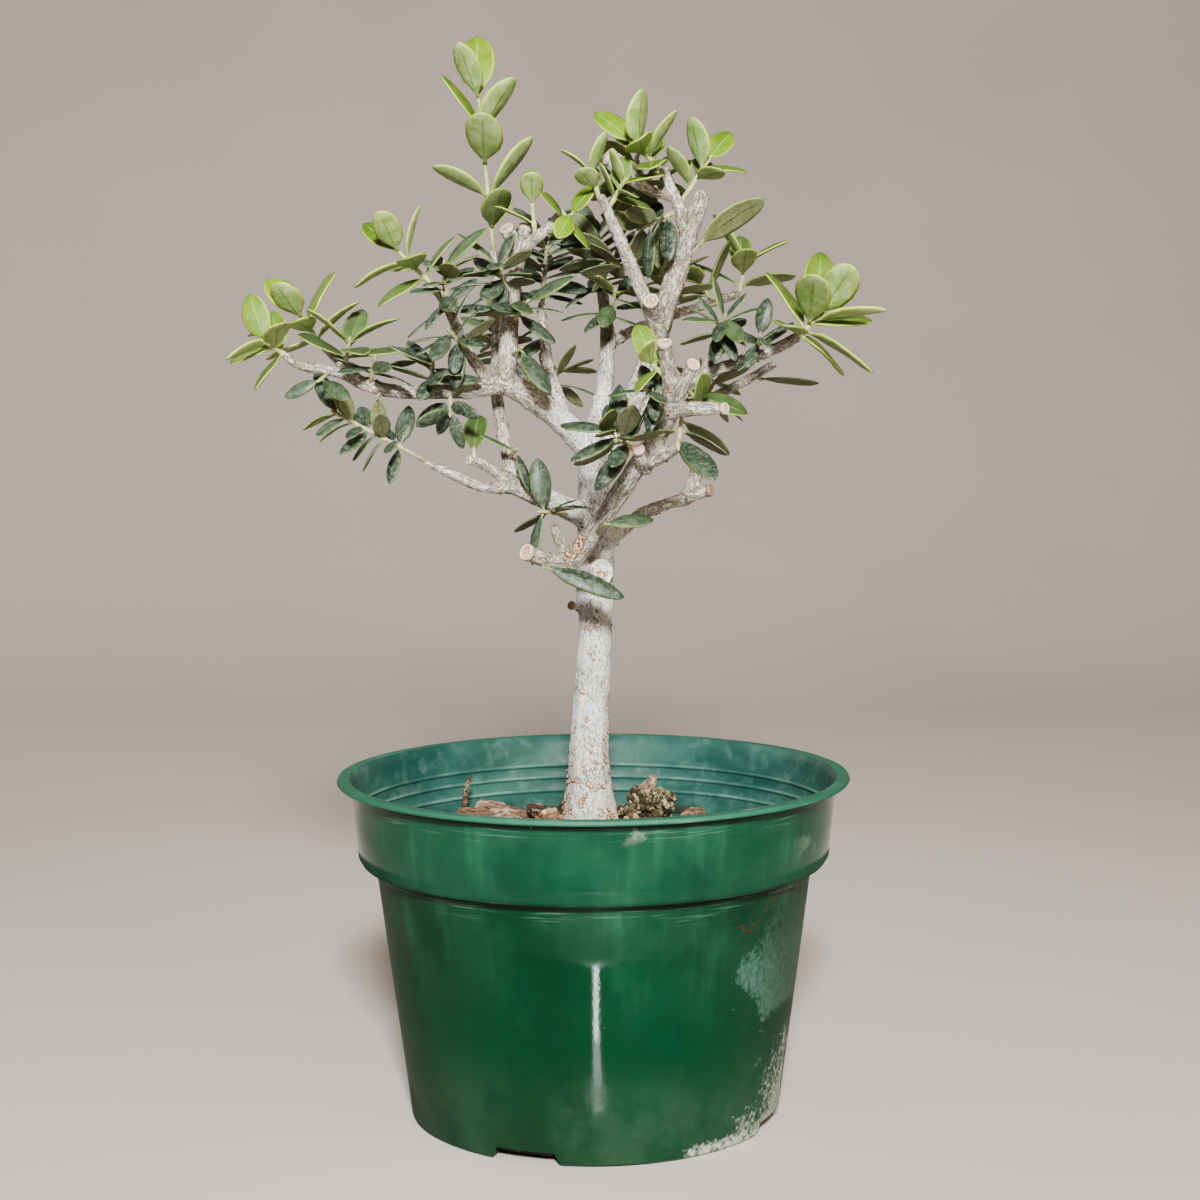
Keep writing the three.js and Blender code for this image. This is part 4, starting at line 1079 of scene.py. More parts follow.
def oliveBark():
    material, coords, inputs = newMaterial("olive_bark")
    relief, pore, sawn, trunk = readMark(material, "barkMark")
    flow = addNode(material.node_tree, "Attribute", attribute_name="barkFlow").outputs["Vector"]
    level = axes(coords)[2]
    broad = patches(coords, 120.0, 0.36, 0.66, 5.0)
    fine = patches(coords, 1100.0, 0.42, 0.62, 3.0)
    old = blend(broad, (196, 196, 192), (216, 215, 212))
    young = blend(broad, (176, 172, 158), (212, 209, 202))
    tint = blend(trunk, young, old)
    moss = patches(coords, 75.0, 0.48, 0.7, 7.0)
    tint = blend(times(moss, 0.4), tint, (150, 158, 130))
    strands = patches(flow, 1.1, 0.5, 0.6, 9.0)
    cracks = times(strands, span(trunk, 0.0, 1.0, 0.74, 0.05))
    tint = blend(cracks, tint, (122, 112, 98))
    lines = patches(flow, 2.8, 0.51, 0.58, 6.0)
    tint = blend(times(lines, span(trunk, 0.0, 1.0, 0.66, 0.1)), tint, (92, 86, 74))
    # Fine dark grit all over, denser in places, and small tan pores too flat to model.
    grit = patches(stretched(coords, (1500, 1500, 1000)), 1.0, 0.52, 0.58, 4.0)
    tint = blend(times(grit, span(broad, 0, 1, 0.85, 0.5)), tint, (96, 98, 90))
    flecks, tone = specked(coords, 640.0, 0.38, 0.6)
    flat = times(flecks, span(trunk, 0, 1, 0.8, 0.12))
    tint = blend(flat, tint, blend(tone, (192, 152, 112), (222, 206, 178)))
    foot = times(span(level, 0.125, 0.092), broad, 0.35)
    tint = blend(foot, tint, (150, 150, 112))
    # Painted shade where the bark lies low, stronger on the limbs than on the trunk.
    hollowShade = times(span(relief, 0.42, 0.25), span(trunk, 0, 1, 1, 0.2))
    tint = blend(hollowShade, tint, (136, 124, 106))
    dome = blend(fine, (206, 176, 142), (158, 122, 88))
    tint = blend(span(pore, 0.1, 0.2), tint, (84, 60, 42))
    tint = blend(span(pore, 0.42, 0.7), tint, dome)
    rings = ramp(trunk, (0.0, 112, 82, 60), (1.0, 196, 180, 164), (0.13, 180, 150, 128),
                 (0.5, 206, 182, 164), (0.66, 164, 124, 98), (0.8, 220, 204, 192))
    tint = blend(sawn, tint, blend(times(fine, 0.35), rings, (150, 120, 98)))
    feed(tint, inputs["Base Color"])
    feed(span(broad, 0.0, 1.0, 0.78, 0.66), inputs["Roughness"])
    crackle = noiseOf(coords, 650.0, 6.0)
    height = minus(times(crackle, 0.8), larger(cracks, times(lines, 0.5)))
    bumpUp(inputs, plus(height, times(flat, 0.5)), 0.4, 0.9)
    return material


wood = makeWood(woodSize)
ownPoints = len(wood.data.vertices)
wood = joinPieces("olive_timber", [wood] + addSawnEnds(sawnSize))
wood = joinPieces("olive_timber", [wood] + addPores(wood, woodSize, ownPoints))
finish(wood, "bark", [oliveBark()], "olive_wood")
print("wood:", len(wood.data.polygons), "faces")

# Each leafy shoot: [root, tip, pairs, where the first pair sits along the stem, blade length, degrees that
# the first pair is turned, spread from the stem of the lowest and of the last pair, youth from 0 to 1, blades
# at a node if not two]
shoots = {
    "crownLeader": [[-31, 12, 278], [-35, 6, 326], 5, 0.155, 20.5, 90, 48, 24, 0.75],
    "stubShoot": [[-17, -4.6, 281], [-18, -6, 292], 2, 0.45, 12.5, 0, 58, 22, 0.85],
    "armShoot": [[-10, -6, 287], [-6, -14, 288], 2, 0.5, 12, 45, 65, 45, 0.8],
    "leftTwigTip": [[-49, -16, 267], [-59, -18, 277], 4, 0.2, 16, 20, 72, 42, 0.7],
    "leftTwigUpper": [[-45, -15, 261], [-45, -18, 272], 3, 0.35, 15, 20, 70, 38, 0.3],
    "leftTwigMiddle": [[-43, -14, 256], [-45, -22, 263], 2, 0.45, 14, 0, 80, 62, 0.2],
    "leftTwigLower": [[-39, -12, 247], [-43, -22, 252], 3, 0.35, 13.5, 30, 78, 50, 0.15],
    "uprightLeft": [[-25, -3, 264], [-29, -12, 273], 4, 0.3, 14, 10, 80, 50, 0.2],
    "uprightRight": [[-25, -3, 255], [-20, -13, 261], 2, 0.45, 17, 5, 62, 45, 0.2],
    "uprightLow": [[-26, -4, 244], [-22, -12, 247], 1, 1, 19, 0, 62, 62, 0.2],
    "backLeftTip": [[-16, 29, 261], [-14, 26, 283], 6, 0.15, 15, 40, 78, 40, 0.15],
    "centreTip": [[4, 31, 264], [1, 24, 284], 6, 0.15, 15.5, 10, 80, 42, 0.15],
    "centreFront": [[5, 24, 253], [8, 12, 265], 3, 0.4, 15.5, 0, 80, 55, 0.3],
    "diagonalTip": [[3, -16.4, 293], [1, -18, 300], 2, 0.45, 12.5, 85, 50, 18, 0.8],
    "diagonalYoung": [[6, -15, 290], [10, -19, 297], 3, 0.4, 12, 20, 60, 35, 0.7],
    "sideTip": [[22, -6, 303], [14, -10, 310], 5, 0.25, 18.5, 85, 74, 27, 0.8],
    "sideBack": [[25, -5, 298], [13, 10, 301], 5, 0.3, 15, 60, 78, 48, 0.4],
    "sideLow": [[28, -4, 290], [17, -2, 285], 4, 0.3, 15.5, 30, 78, 50, 0.15],
    "rightTip": [[29, -4, 293], [37, -5, 305], 4, 0.35, 15.5, 15, 70, 28, 0.7],
    "bigPair": [[32, -3, 277], [34, 0.4, 279], 1, 1, 22.5, -90, 45, 45, 0.3, 1],
    "behindRightTip": [[51, 66, 266], [53, 64, 276], 3, 0.25, 18, 0, 62, 25, 0.6],
    "behindRightSide": [[42, 60, 262], [38, 58, 269], 2, 0.5, 17, 20, 60, 40, 0.5],
    "rightRosette": [[38, 4, 244], [42, -8, 256], 4, 0.6, 13.5, 30, 84, 55, 0.3],
    "rightTipSpray": [[65, -5, 250], [72, -7, 257], 5, 0.12, 23.5, 60, 75, 24, 0.8],
    "rightMiddle": [[52, -3, 244], [53, -9, 250], 2, 0.5, 12.5, 30, 80, 50, 0.15],
    "rightLowerTip": [[54, 25.75, 238], [56, 31, 237], 1, 1, 17, 180, 84, 84, 0.15, 1],
    "behindFrontFork": [[31, 5.2, 234], [34, -8, 230], 2, 0.6, 15.5, 15, 64, 42, 0.62, 1],
    "frontNubPair": [[26, -50, 217], [27, -50, 225], 2, 0.32, 21, -45, 101, 103, 0.2, 1],
    "frontFan": [[15, -47, 215], [6, -50, 222], 4, 0.35, 16.5, 20, 78, 45, 0.15],
    "frontLime": [[22, -61, 238], [18, -64, 242], 2, 0.6, 14, 45, 60, 35, 0.9],
    "frontMiddle": [[21, -54, 231], [17, -58, 234], 2, 0.5, 12.5, 30, 80, 60, 0.2],
    "lowLeftSpray": [[-7, -5, 195], [-15, -13, 196], 2, 0.6, 16.5, 90, 78, 74, 0.15],
    "frontCross": [[1, -20, 189], [4, -33, 193], 1, 1, 14, 60, 80, 80, 0.2, 1],
    "stubLeaf": [[-15, -21, 181], [-15, -28, 180], 1, 1, 24, 3, 84, 84, 0.2, 1],
    "lowLeftTip": [[-52, -9, 212], [-79, -14, 227], 5, 0.3, 13.5, 45, 78, 42, 0.22],
    "lowLeftRound": [[-37, -7.7, 212], [-37, -7.7, 214], 1, 1, 18, 90, 36, 36, 0.5, 1],
    "behindUprightLow": [[-27, 0, 212], [-24, -8, 215], 1, 1, 12.5, 10, 75, 75, 0.15],
    "diagonalBack": [[14, -7, 271], [4, 8, 276], 4, 0.35, 15, 45, 78, 50, 0.15],
    "farLeftUpperTip": [[-84, -10, 248], [-90, -12, 257], 4, 0.25, 17, 10, 70, 36, 0.85],
    "farLeftLowerTip": [[-93, -24, 245], [-99, -27, 249], 3, 0.25, 16, 40, 70, 36, 0.8],
    "farLeftInner": [[-77, -12, 241], [-75, -17, 249], 3, 0.45, 17, 15, 62, 36, 0.55],
    "farLeftMiddle": [[-69, -13, 236], [-67, -19, 243], 2, 0.5, 14, 10, 75, 55, 0.2],
    "farLeftUpright": [[-50, -10, 234], [-49, -17, 242], 3, 0.4, 14.5, 20, 75, 45, 0.15],
    "farLeftUnder": [[-81, -18, 240], [-83, -24, 238], 1, 1, 12.5, 0, 60, 60, 0.6],
    "farLeftHanging": [[-65, -12, 234], [-66, -16, 233], 1, 1, 18, 90, 60, 60, 0.25, 1],
    "farLeftDroop": [[-44, -9, 233], [-44, -13, 228], 2, 0.45, 12.5, 30, 50, 38, 0.15],
    "behindLeftTip": [[-25, 55, 241], [-32, 64, 254], 5, 0.2, 15, 30, 75, 42, 0.3],
    "behindMidTip": [[27, 51, 263], [26, 58, 277], 5, 0.2, 15, 0, 75, 35, 0.4],
    "backLowLeft": [[-14, 40, 232], [-11, 52, 240], 3, 0.4, 14, 0, 75, 45, 0.2],
    "backLowRight": [[37, 22, 230], [41, 36, 236], 3, 0.4, 14, 0, 75, 45, 0.2],
}
stemSize = {
    "radius": (0.86, 0.56),            # at the root, at the tip
    "swell": 1.34,                     # at a node
    "rootSwell": 1.15,
    "bud": 1.3,
    "budFrom": 0.8,                    # beyond the tip
    "budRings": [(0.3, 1.15), (0.8, 0.95), (1.3, 0.5), (1.6, 0.06)],   # along in bud sizes, how wide
    "sides": 6,
}
bladeSize = {
    "seeds": (977, 131),               # of the first shoot, and the step to the next one's
    "fillSeeds": (3301, 17),           # the same for the blades between the nodes
    "thick": 0.65,
    "swing": 18,                       # how far a blade strays round its stem, in degrees
    "lean": 9,
    "roll": 12,
    "slim": (0.42, 0.56),              # width by length
    "bend": (0.12, 0.6),
    "length": (0.88, 1.08),            # of the shoot's own blade length
    "fillLength": (0.7, 0.92),         # between the nodes
    "leastLean": 38,                   # of a blade from its stem, in degrees
    "youngLean": 24,                   # the same on a young shoot
    "youngFrom": 0.7,
    "twistLimit": 70,                  # of a blade that turns its upper side to the sky
    "youngTwistsLess": 0.6,
    "swingLimit": 48,
    "tipHalfWidth": 0.17,
    "tipWithin": 0.05,                 # how near the frame's tip a blade of the right detour ends
    "detours": [(0, 0), (16, 0), (-16, 0), (0, -14), (0, 14), (30, -10), (-30, -10), (44, 8), (-44, 8)],
}
# The blade as modelled: along from 0 to 1, half width, half thickness, both in parts of its width.
leafOutline = [(0.0, 0.066, 0.06), (0.085, 0.05, 0.052), (0.155, 0.18, 0.05), (0.28, 0.39, 0.05),
               (0.47, 0.5, 0.05), (0.67, 0.485, 0.048), (0.84, 0.37, 0.045), (0.945, 0.21, 0.04),
               (1.0, 0.035, 0.025)]
# How the blade is shaped across, and how far it differs from the frame's.
leafForms = {
    "old": {"crown": -0.12, "groove": 0.03, "midrib": 0.03, "wave": 0.03, "front": 8, "roll": 22,
            "length": 1.1, "width": 0.83},
    "young": {"crown": 0.05, "groove": 0.03, "midrib": 0.026, "wave": 0.035, "front": 6, "roll": 10,
              "length": 1.1, "width": 1.05},
}
leafWave = {"sweep": 0.05, "length": 7, "lift": 2.4}     # sideways curve, and the ripple along the rim
leafAge = {
    "seed": 2203,
    "alongShoot": 0.22,                # how much younger the last leaves look than the first
    "byChance": 0.09,
    "young": 0.45,                     # from which youth on a blade has the young form and stands alone
    "slots": [(0.65, "fresh_leaf"), (0.25, "sage_leaf"), (-1, "old_leaf")],
}
slimSprays = {"stubLeaf": 0.62}        # blades narrower than the frame's
toned = {"lowLeftRound": 0.4, "farLeftUnder": 0.25, "stubLeaf": 0.05}    # youth by the looks alone


def makeLeaf(form):
    # A ring of eight points drawn out station by station: two for the rim, three above, three below.
    bpy.ops.object.select_all(action="DESELECT")
    _, wide, deep = leafOutline[0]
    bpy.ops.mesh.primitive_circle_add(vertices=8, radius=wide, fill_type="NGON", rotation=(0, math.pi / 2, 0))
    leaf = bpy.context.object
    bpy.ops.object.transform_apply(rotation=True)
    editAll(leaf)
    bpy.ops.transform.resize(value=(1, 1, deep / wide), center_override=(0, 0, 0))
    for before, after in zip(leafOutline, leafOutline[1:]):
        bpy.ops.mesh.extrude_region_move(TRANSFORM_OT_translate={"value": (after[0] - before[0], 0, 0)})
        grow = (1, after[1] / before[1], after[2] / before[2])
        bpy.ops.transform.resize(value=grow, center_override=(after[0], 0, 0))
    turnFacesOut()
    shadeSmooth(leaf)
    along, side, rise = places(leaf.data).T
    stations = np.array(leafOutline)
    half = np.interp(along, stations[:, 0], stations[:, 1])
    thick = np.interp(along, stations[:, 0], stations[:, 2])
    across, above = side / half, rise / thick
    broad = np.clip((half - 0.06) / 0.3, 0, 1)
    flank = (np.abs(above) > 0.5) & (np.abs(across) > 0.5)
    middle = np.abs(across) < 0.3
    across = np.where(flank, np.sign(across) * 0.78, across)
    rise = np.where(flank, np.sign(above) * 0.9 * thick, rise)
    rise = np.where(middle & (above > 0), rise - form["groove"] * broad, rise)
    rise = np.where(middle & (above < 0), rise - form["midrib"] * broad, rise)
    rise = rise + form["crown"] * broad * (across ** 2 - 0.4)
    setPlaces(leaf.data, np.stack([along, across * half, rise], 1))
    under = np.where(above < -0.5, 1.0, np.where(above > 0.5, 0.0, 0.5))
    setMark(leaf.data, "leafPlace", [0.5 + 0.5 * across, along, under])
    mesh = leaf.data
    removePieces([leaf])
    return mesh


def stemFrame(start, end):
    along = (end - start).normalized()
    helper = Vector((0, 0, 1)) if abs(along.y) > 0.9 else Vector((0, 1, 0))
    away = (helper - helper.dot(along) * along).normalized()
    return along, away, away.cross(along)


def outward(stem, degrees):
    _, away, aside = stem
    angle = math.radians(degrees)
    return aside * math.cos(angle) + away * math.sin(angle)


def readShoot(start, end, pairs, first, leaf, turn, lowSpread, topSpread, youth, perNode=2):
    start, end = Vector(start), Vector(end)
    length = (end - start).length
    nodes = []
    for pair in range(pairs):
        share = 1 if pairs == 1 else pair / (pairs - 1)
        distance = length * (first + (1 - first) * share)
        nodes.append({"distance": distance, "spread": lowSpread + (topSpread - lowSpread) * share,
                      "share": share})
    return {"start": start, "length": length, "stem": stemFrame(start, end), "nodes": nodes, "leaf": leaf,
            "turn": turn, "youth": youth, "perNode": perNode}


def bladePoint(blade, reach, rise, side):
    # A point of the blade: along from 0 to 1, above it in millimetres, and aside in parts of its width.
    angle = blade["bend"] * reach
    radius = blade["length"] / blade["bend"]
    along, upper = blade["along"], blade["upper"]
    return (blade["root"] + along * ((radius + rise) * math.sin(angle))
            + upper * (rise * math.cos(angle) - radius * (1 - math.cos(angle)))
            + along.cross(upper) * (side * blade["width"]))


def placedBlade(shoot, pair, drawn, turnMore, leanMore):
    least = bladeSize["youngLean" if shoot["youth"] > bladeSize["youngFrom"] else "leastLean"]
    lean = math.radians(max(drawn["lean"] + leanMore, least))

    def within(angle, limit):
        return max(-limit * math.sin(lean), min(limit * math.sin(lean), angle))

    swing = within(drawn["swing"] + turnMore, bladeSize["swingLimit"])
    out = outward(shoot["stem"], drawn["heading"] + swing)
    stem = shoot["stem"][0]
    along = stem * math.cos(lean) + out * math.sin(lean)
    upper = stem * math.sin(lean) - out * math.cos(lean)
    pull = 1 - bladeSize["youngTwistsLess"] * shoot["youth"]
    toSky = math.degrees(math.atan2(along.cross(upper).z, upper.z)) * pull
    twist = within(toSky + drawn["roll"], bladeSize["twistLimit"])
    upper = Matrix.Rotation(math.radians(twist), 3, along) @ upper
    root = shoot["start"] + stem * shoot["nodes"][pair]["distance"]
    return {"root": root, "along": along, "upper": upper, "length": drawn["length"],
            "width": drawn["length"] * drawn["slim"], "bend": drawn["bend"], "pair": pair}


def shootDraw(order, first, step):
    return seededDraw(first + order * step)


def drawBlade(draw, shoot, node, face, lengths):
    def about(name):
        return draw(-bladeSize[name], bladeSize[name])

    return {"heading": shoot["turn"] + face * 90, "swing": about("swing"),
            "lean": node["spread"] + about("lean"), "length": shoot["leaf"] * draw(*lengths),
            "slim": draw(*bladeSize["slim"]), "roll": about("roll"), "bend": draw(*bladeSize["bend"])}


def growBlades(name, order, shoot):
    # The same draws as the frame's; of the detours, the one whose tip the frame has is taken.
    corners = places(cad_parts["shoot_" + name].data) / millimetre
    known = KDTree(len(corners))
    for index, corner in enumerate(corners):
        known.insert(corner, index)
    known.balance()
    draw = shootDraw(order, *bladeSize["seeds"])
    blades = []
    for pair, node in enumerate(shoot["nodes"]):
        for side in range(shoot["perNode"]):
            drawn = drawBlade(draw, shoot, node, (pair + 2 * side) % 4, bladeSize["length"])
            for detour in bladeSize["detours"]:
                blade = placedBlade(shoot, pair, drawn, *detour)
                tips = [bladePoint(blade, 1, bladeSize["thick"] / 2, way * bladeSize["tipHalfWidth"])
                        for way in (-1, 1)]
                if all(known.find(tip)[2] < bladeSize["tipWithin"] for tip in tips):
                    blades.append(blade)
                    break
    return blades


def fillBlades(shoot, draw, wood):
    # More blades between the nodes of an old shoot, where they pass the wood by a millimetre.
    nodes = shoot["nodes"]
    halfway = [dict(low, distance=(low["distance"] + high["distance"]) / 2)
               for low, high in zip(nodes, nodes[1:])]
    blades = []
    for pair, node in enumerate(halfway):
        for side in range(2):
            drawn = drawBlade(draw, shoot, node, pair + 2 * side + 0.5, bladeSize["fillLength"])
            blade = placedBlade(dict(shoot, nodes=halfway), pair, drawn, 0, 0)
            spots = [bladePoint(blade, reach, 0, across) * millimetre
                     for reach in (0.4, 0.7, 1.0) for across in (-0.4, 0.4)]
            if all(wood.find_nearest(spot)[3] > millimetre for spot in spots):
                blades.append(blade)
    return blades


def shapeLeaf(templates, blade, shoot, draw):
    share = shoot["nodes"][blade["pair"]]["share"]
    chance = leafAge["byChance"]
    youth = shoot["look"] + leafAge["alongShoot"] * (share - 0.5) + draw(-chance, chance)
    youth = min(1, max(0, youth))
    form = "young" if youth > leafAge["young"] else "old"
    mesh = templates[form].copy()
    shape = leafForms[form]
    side = blade["along"].cross(blade["upper"])
    toFront = math.copysign(shape["front"], blade["upper"].y * side.y)
    roll = toFront + draw(-shape["roll"], shape["roll"])
    turn = Matrix.Rotation(math.radians(roll), 3, blade["along"])
    blade = dict(blade, upper=turn @ blade["upper"], length=blade["length"] * shape["length"],
                 width=blade["width"] * shape["width"] * shoot["slim"])
    wave, sweep = draw(-1, 1), draw(-leafWave["sweep"], leafWave["sweep"])
    tone, phase = draw(0, 1), draw(0, 6)
    spots = []
    for reach, across, rise in places(mesh):
        ripple = shape["wave"] * wave * math.sin(leafWave["length"] * reach + phase) * min(1, 4 * reach)
        lift = (rise + ripple * across * leafWave["lift"]) * blade["width"]
        spots.append(bladePoint(blade, reach, lift, across + sweep * reach * reach) * millimetre)
    setPlaces(mesh, spots)
    setMark(mesh, "leafMark", [youth, tone, draw(0, 1)])
    return newPiece("leaf", mesh)


def stemTemplate(pairs, sides):
    # Rings at the root, about every node and at the bud; each copy takes its own distances.
    bpy.ops.object.select_all(action="DESELECT")
    bpy.ops.mesh.primitive_circle_add(vertices=sides, radius=1, fill_type="NGON")
    stem = bpy.context.object
    editAll(stem)
    for _ in range(3 * pairs + 4):
        bpy.ops.mesh.extrude_region_move(TRANSFORM_OT_translate={"value": (0, 0, 1)})
    turnFacesOut()
    shadeSmooth(stem)
    return stem


def shapeStem(template, name, shoot, draw):
    lowRadius, topRadius = stemSize["radius"]
    end, bud = shoot["length"] + stemSize["budFrom"], stemSize["bud"]
    rings = [(0.0, stemSize["rootSwell"])]         # how far along, and how wide
    for node in shoot["nodes"]:
        middle = node["distance"]
        rings += [(middle - 1.25, 1.0), (middle, stemSize["swell"]), (middle + 0.8, 0.98)]
    rings += [(end + along * bud, wide) for along, wide in stemSize["budRings"]]
    along, away, aside = shoot["stem"]
    piece = newPiece("spray_" + name, template.data.copy())
    spots = []
    for x, y, ring in places(piece.data):
        distance, swell = rings[round(ring)]
        share = min(1, max(0, distance / shoot["length"]))
        radius = (lowRadius + (topRadius - lowRadius) * share) * swell
        spots.append((shoot["start"] + along * distance + (aside * x + away * y) * radius) * millimetre)
    setPlaces(piece.data, spots)
    setMark(piece.data, "leafMark", [shoot["youth"], draw(0, 1), draw(0, 1)])
    setMark(piece.data, "leafPlace", [0.5, 0.0, 0.5])
    return piece


def leafSkin():
    material, coords, inputs = newMaterial("olive_leaf")
    youth, tone, _, _ = readMark(material, "leafMark")
    across, along, under, _ = readMark(material, "leafPlace")
    below = span(under, 0.46, 0.54)
    patch = patches(coords, 230.0, 0.35, 0.68)
    upper = ramp(youth, (0.0, 28, 42, 32), (1.0, 106, 140, 30), (0.3, 42, 58, 42),
                 (0.55, 66, 88, 48), (0.8, 86, 116, 36))
    upperPale = ramp(youth, (0.0, 62, 78, 64), (1.0, 152, 170, 58), (0.3, 80, 96, 76), (0.6, 104, 126, 72))
    lower = ramp(youth, (0.0, 86, 82, 58), (1.0, 134, 160, 82), (0.35, 94, 100, 62), (0.65, 112, 138, 72))
    lowerPale = ramp(youth, (0.0, 96, 98, 78), (1.0, 174, 194, 132), (0.35, 110, 118, 84))
    tint = blend(below, blend(times(patch, 0.45), upper, upperPale), blend(patch, lower, lowerPale))
    shade = span(tone, 0.0, 1.0, 0.78, 1.22, "LINEAR")
    shade = nodeFrom("CombineColor", {0: shade, 1: shade, 2: shade}).outputs[0]
    tint = blend(1.0, tint, shade, "MULTIPLY")
    away = apart(across, 0.5)
    rib = times(span(away, 0.05, 0.015), span(along, 0.96, 0.8))
    ribTint = ramp(youth, (0.0, 92, 108, 76), (1.0, 168, 190, 96))
    ribTint = blend(below, ribTint, ramp(youth, (0.0, 60, 68, 46), (1.0, 92, 120, 50)))
    ribShown = larger(times(below, 0.6), span(youth, 0.2, 0.8, 0.1, 0.5))
    tint = blend(times(rib, ribShown), tint, ribTint)
    net = patches(coords, 1500.0, 0.4, 0.6, 2.0)
    netted = blend(0.09, tint, blend(net, (60, 84, 40), (206, 220, 160)))
    tint = blend(below, tint, netted)
    margin = times(span(away, 0.41, 0.455), span(along, 0.06, 0.2))
    rimTint = ramp(youth, (0.0, 90, 106, 66), (1.0, 196, 212, 88), (0.4, 140, 164, 80))
    tint = blend(times(margin, 0.8), tint, rimTint)
    tint = blend(times(span(along, 0.15, 0.06), 0.85), tint, (160, 172, 104))      # the stalk
    # Grey scurf in soft patches and bright dots on the upper side of an old blade.
    aged = times(span(youth, 0.6, 0.15), span(below, 0, 1, 1, 0.3))
    scurf = patches(coords, 600.0, 0.42, 0.62, 7.0)
    tint = blend(times(scurf, aged, 0.42), tint, (114, 126, 106))
    scales, _ = specked(coords, 1500.0, 0.26, 0.34)
    dusty = times(scales, aged)
    tint = blend(times(dusty, 0.5), tint, (184, 194, 178))
    feed(tint, inputs["Base Color"])
    gloss = plus(span(below, 0, 1, 0.44, 0.64), times(patch, 0.1))
    feed(plus(gloss, times(dusty, 0.3)), inputs["Roughness"])
    veins = noiseOf(coords, 900.0, 4.0)
    bumpUp(inputs, minus(veins, times(rib, 0.8)), 0.16, 0.8)
    return material


def shootStem():
    material, coords, inputs = newMaterial("olive_green_stem")
    youth, _, _, _ = readMark(material, "leafMark")
    patch = patches(coords, 420.0, 0.36, 0.66, 5.0)
    green = ramp(youth, (0.0, 146, 138, 108), (1.0, 162, 182, 108), (0.4, 150, 152, 108))
    pale = ramp(youth, (0.0, 184, 172, 146), (1.0, 188, 204, 148))
    pores, _ = specked(coords, 900.0, 0.3, 0.25)
    tint = blend(times(pores, 0.4), blend(patch, green, pale), (128, 112, 82))
    feed(tint, inputs["Base Color"])
    inputs["Roughness"].default_value = 0.62
    bumpUp(inputs, patch, 0.12, 0.7)
    return material


leafTemplates = {name: makeLeaf(form) for name, form in leafForms.items()}
leafFinish, stemFinish = leafSkin(), shootStem()
for mesh in leafTemplates.values():
    mesh.materials.append(leafFinish)
stemTemplates = {}
for pairs in sorted({row[2] for row in shoots.values()}):
    stemTemplates[pairs] = stemTemplate(pairs, stemSize["sides"])
    stemTemplates[pairs].data.materials.append(stemFinish)
growth = seededDraw(leafAge["seed"])
woodTree = BVHTree.FromObject(wood, bpy.context.evaluated_depsgraph_get())
leafCount = 0
for order, (name, row) in enumerate(shoots.items()):
    shoot = readShoot(*row)
    shoot["slim"] = slimSprays.get(name, 1.0)
    shoot["look"] = toned.get(name, shoot["youth"])
    blades = growBlades(name, order, shoot)
    if shoot["youth"] < leafAge["young"]:
        blades += fillBlades(shoot, shootDraw(order, *bladeSize["fillSeeds"]), woodTree)
    leafCount += len(blades)
    stem = shapeStem(stemTemplates[row[2]], name, shoot, growth)
    leaves = [shapeLeaf(leafTemplates, blade, shoot, growth) for blade in blades]
    spray = joinPieces("spray_" + name, [stem] + leaves)
    slot = next(slot for least, slot in leafAge["slots"] if shoot["youth"] > least)
    finish(spray, slot, [], "shoot_" + name)
removePieces(stemTemplates.values())
print("shoots:", len(shoots), "with", leafCount, "leaves")

# The backdrop, the lamps and the camera.
studio = {
    "paper": (6.0, 1.6, 2.4),          # width, how far behind, height of the backdrop
    "paperBend": 0.7,
    "paperTints": [(196, 188, 183), (201, 193, 188)],
    "key": {"at": (0.04, -1.48, 0.88), "size": 0.2, "watts": 14.5, "spread": 90},
    "fill": {"at": (1.3, -1.1, 0.9), "size": 1.2, "watts": 9, "spread": 180, "warm": (1, 0.77, 0.58)},
    "back": {"at": (-1.2, 0.9, 1.2), "size": 1.2, "watts": 6, "spread": 180, "warm": (1, 0.92, 0.84)},
    "gleam": {"at": (0.002, -0.144, 0.003), "size": 0.005, "length": 0.032, "watts": 0.026, "spread": 180,
              "aim": (0.002, -0.144, 1.0)},
    "strip": {"at": (0.002, -0.106, 0.003), "size": 0.006, "length": 0.044, "watts": 0.012, "spread": 180,
              "aim": (0.002, -0.106, 1.0)},    # seen only in the gloss of the pot
    "aim": (0, 0, 0.19),
    "sky": (1.0, 0.84, 0.69, 1.0),
    "skyStrength": 0.16,
}
cameraSize = {"at": (0.0025, -0.750, 0.241), "tilt": 84.35, "roll": -0.0061, "lens": 70.44}


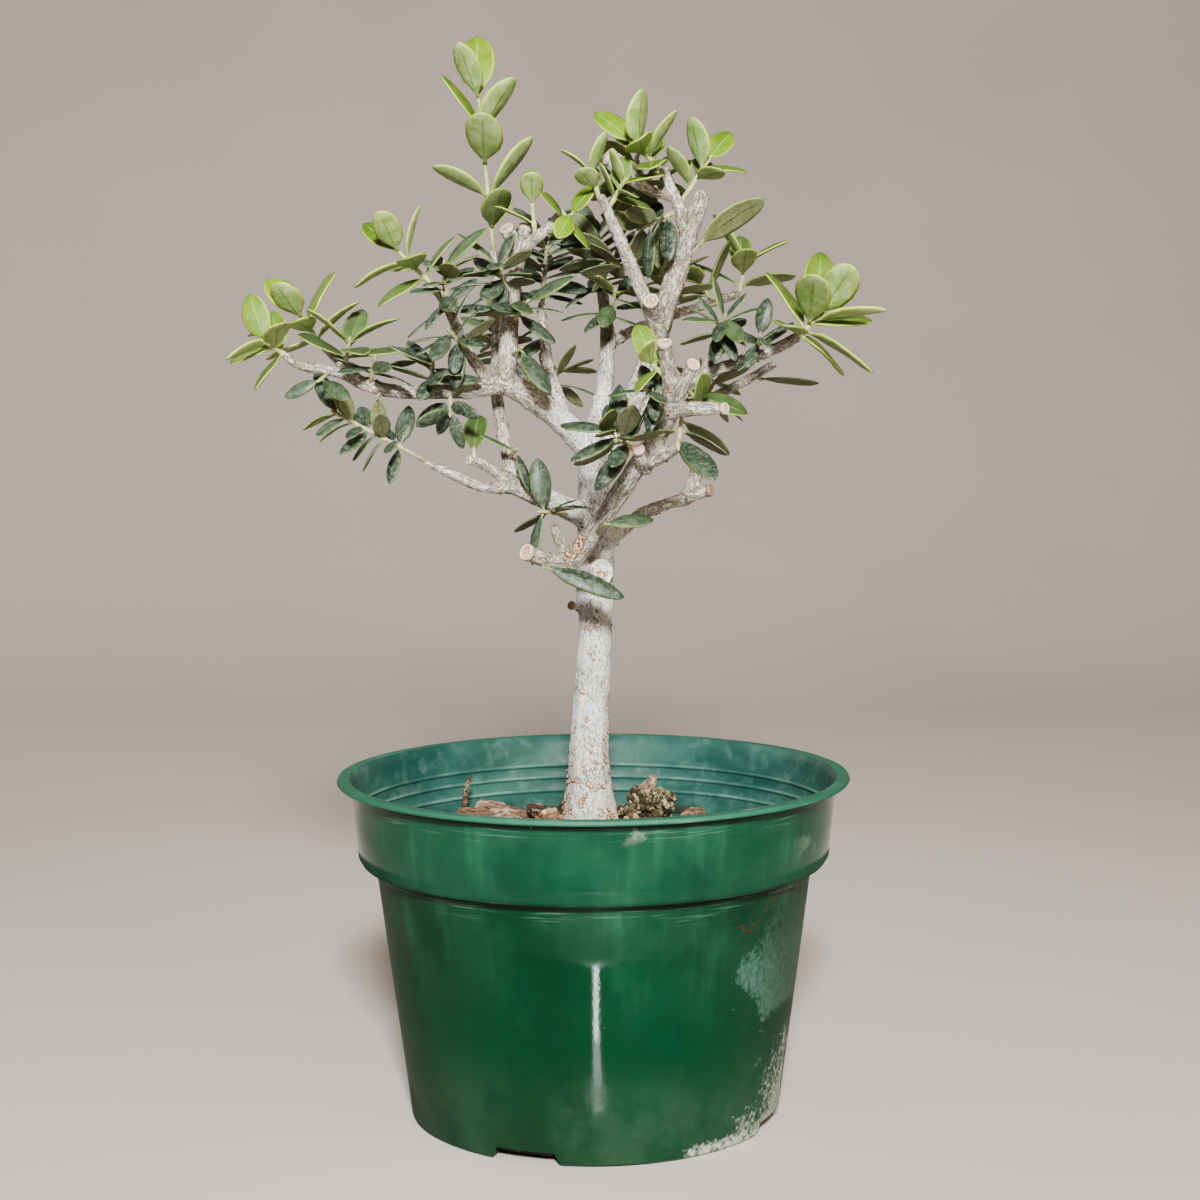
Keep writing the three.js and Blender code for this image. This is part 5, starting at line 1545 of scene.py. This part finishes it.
def makePaper(size):
    width, behind, height = size["paper"]
    bpy.ops.object.select_all(action="DESELECT")
    bpy.ops.mesh.primitive_plane_add(size=width, location=(0, behind - width / 2, 0))
    paper = bpy.context.object
    paper.name = "studio_paper"
    bpy.ops.object.transform_apply(location=True)
    editAll(paper)
    bpy.ops.mesh.select_mode(type="EDGE")
    bpy.ops.mesh.select_all(action="DESELECT")
    shape = bmesh.from_edit_mesh(paper.data)
    for edge in shape.edges:
        edge.select_set(all(vertex.co.y > behind - 0.01 for vertex in edge.verts))
    bmesh.update_edit_mesh(paper.data)
    bpy.ops.mesh.extrude_region_move(TRANSFORM_OT_translate={"value": (0, 0, height)})
    endEdit()
    withModifier(paper, "BEVEL", width=size["paperBend"], segments=12, limit_method="ANGLE")
    shadeSmooth(paper)
    material, coords, inputs = newMaterial("pale_paper")
    feed(blend(patches(coords, 3.0, 0.3, 0.7, 2.0), *size["paperTints"]), inputs["Base Color"])
    inputs["Roughness"].default_value = 0.9
    paper.data.materials.append(material)


def addLight(name, light, aim):
    lamp = bpy.data.objects.new(name, bpy.data.lights.new(name, "AREA"))
    lamp.data.size = light["size"]
    lamp.data.energy = light["watts"]
    lamp.data.spread = math.radians(light["spread"])
    lamp.data.color = light.get("warm", (1, 1, 1))
    if "length" in light:
        lamp.data.shape = "RECTANGLE"
        lamp.data.size_y = light["length"]
        lamp.visible_diffuse = False
    lamp.visible_camera = False
    lamp.location = light["at"]
    aim = Vector(light.get("aim", aim))
    lamp.rotation_euler = (aim - lamp.location).to_track_quat("-Z", "Y").to_euler()
    bpy.context.scene.collection.objects.link(lamp)


makePaper(studio)
for name in ("key", "fill", "back", "gleam", "strip"):
    addLight(name + "_light", studio[name], studio["aim"])
world = bpy.data.worlds.new("studio_air")
world.use_nodes = True
world.node_tree.nodes["Background"].inputs[0].default_value = studio["sky"]
world.node_tree.nodes["Background"].inputs[1].default_value = studio["skyStrength"]
bpy.context.scene.world = world
camera = bpy.data.objects.new("camera", bpy.data.cameras.new("camera"))
camera.data.lens = cameraSize["lens"]
camera.location = cameraSize["at"]
tilt = Matrix.Rotation(math.radians(cameraSize["tilt"]), 3, "X")
camera.rotation_euler = (tilt @ Matrix.Rotation(cameraSize["roll"], 3, "Z")).to_euler()
bpy.context.scene.collection.objects.link(camera)
bpy.context.scene.camera = camera
bpy.context.scene.view_settings.look = "AgX - Medium High Contrast"
print("studio set")
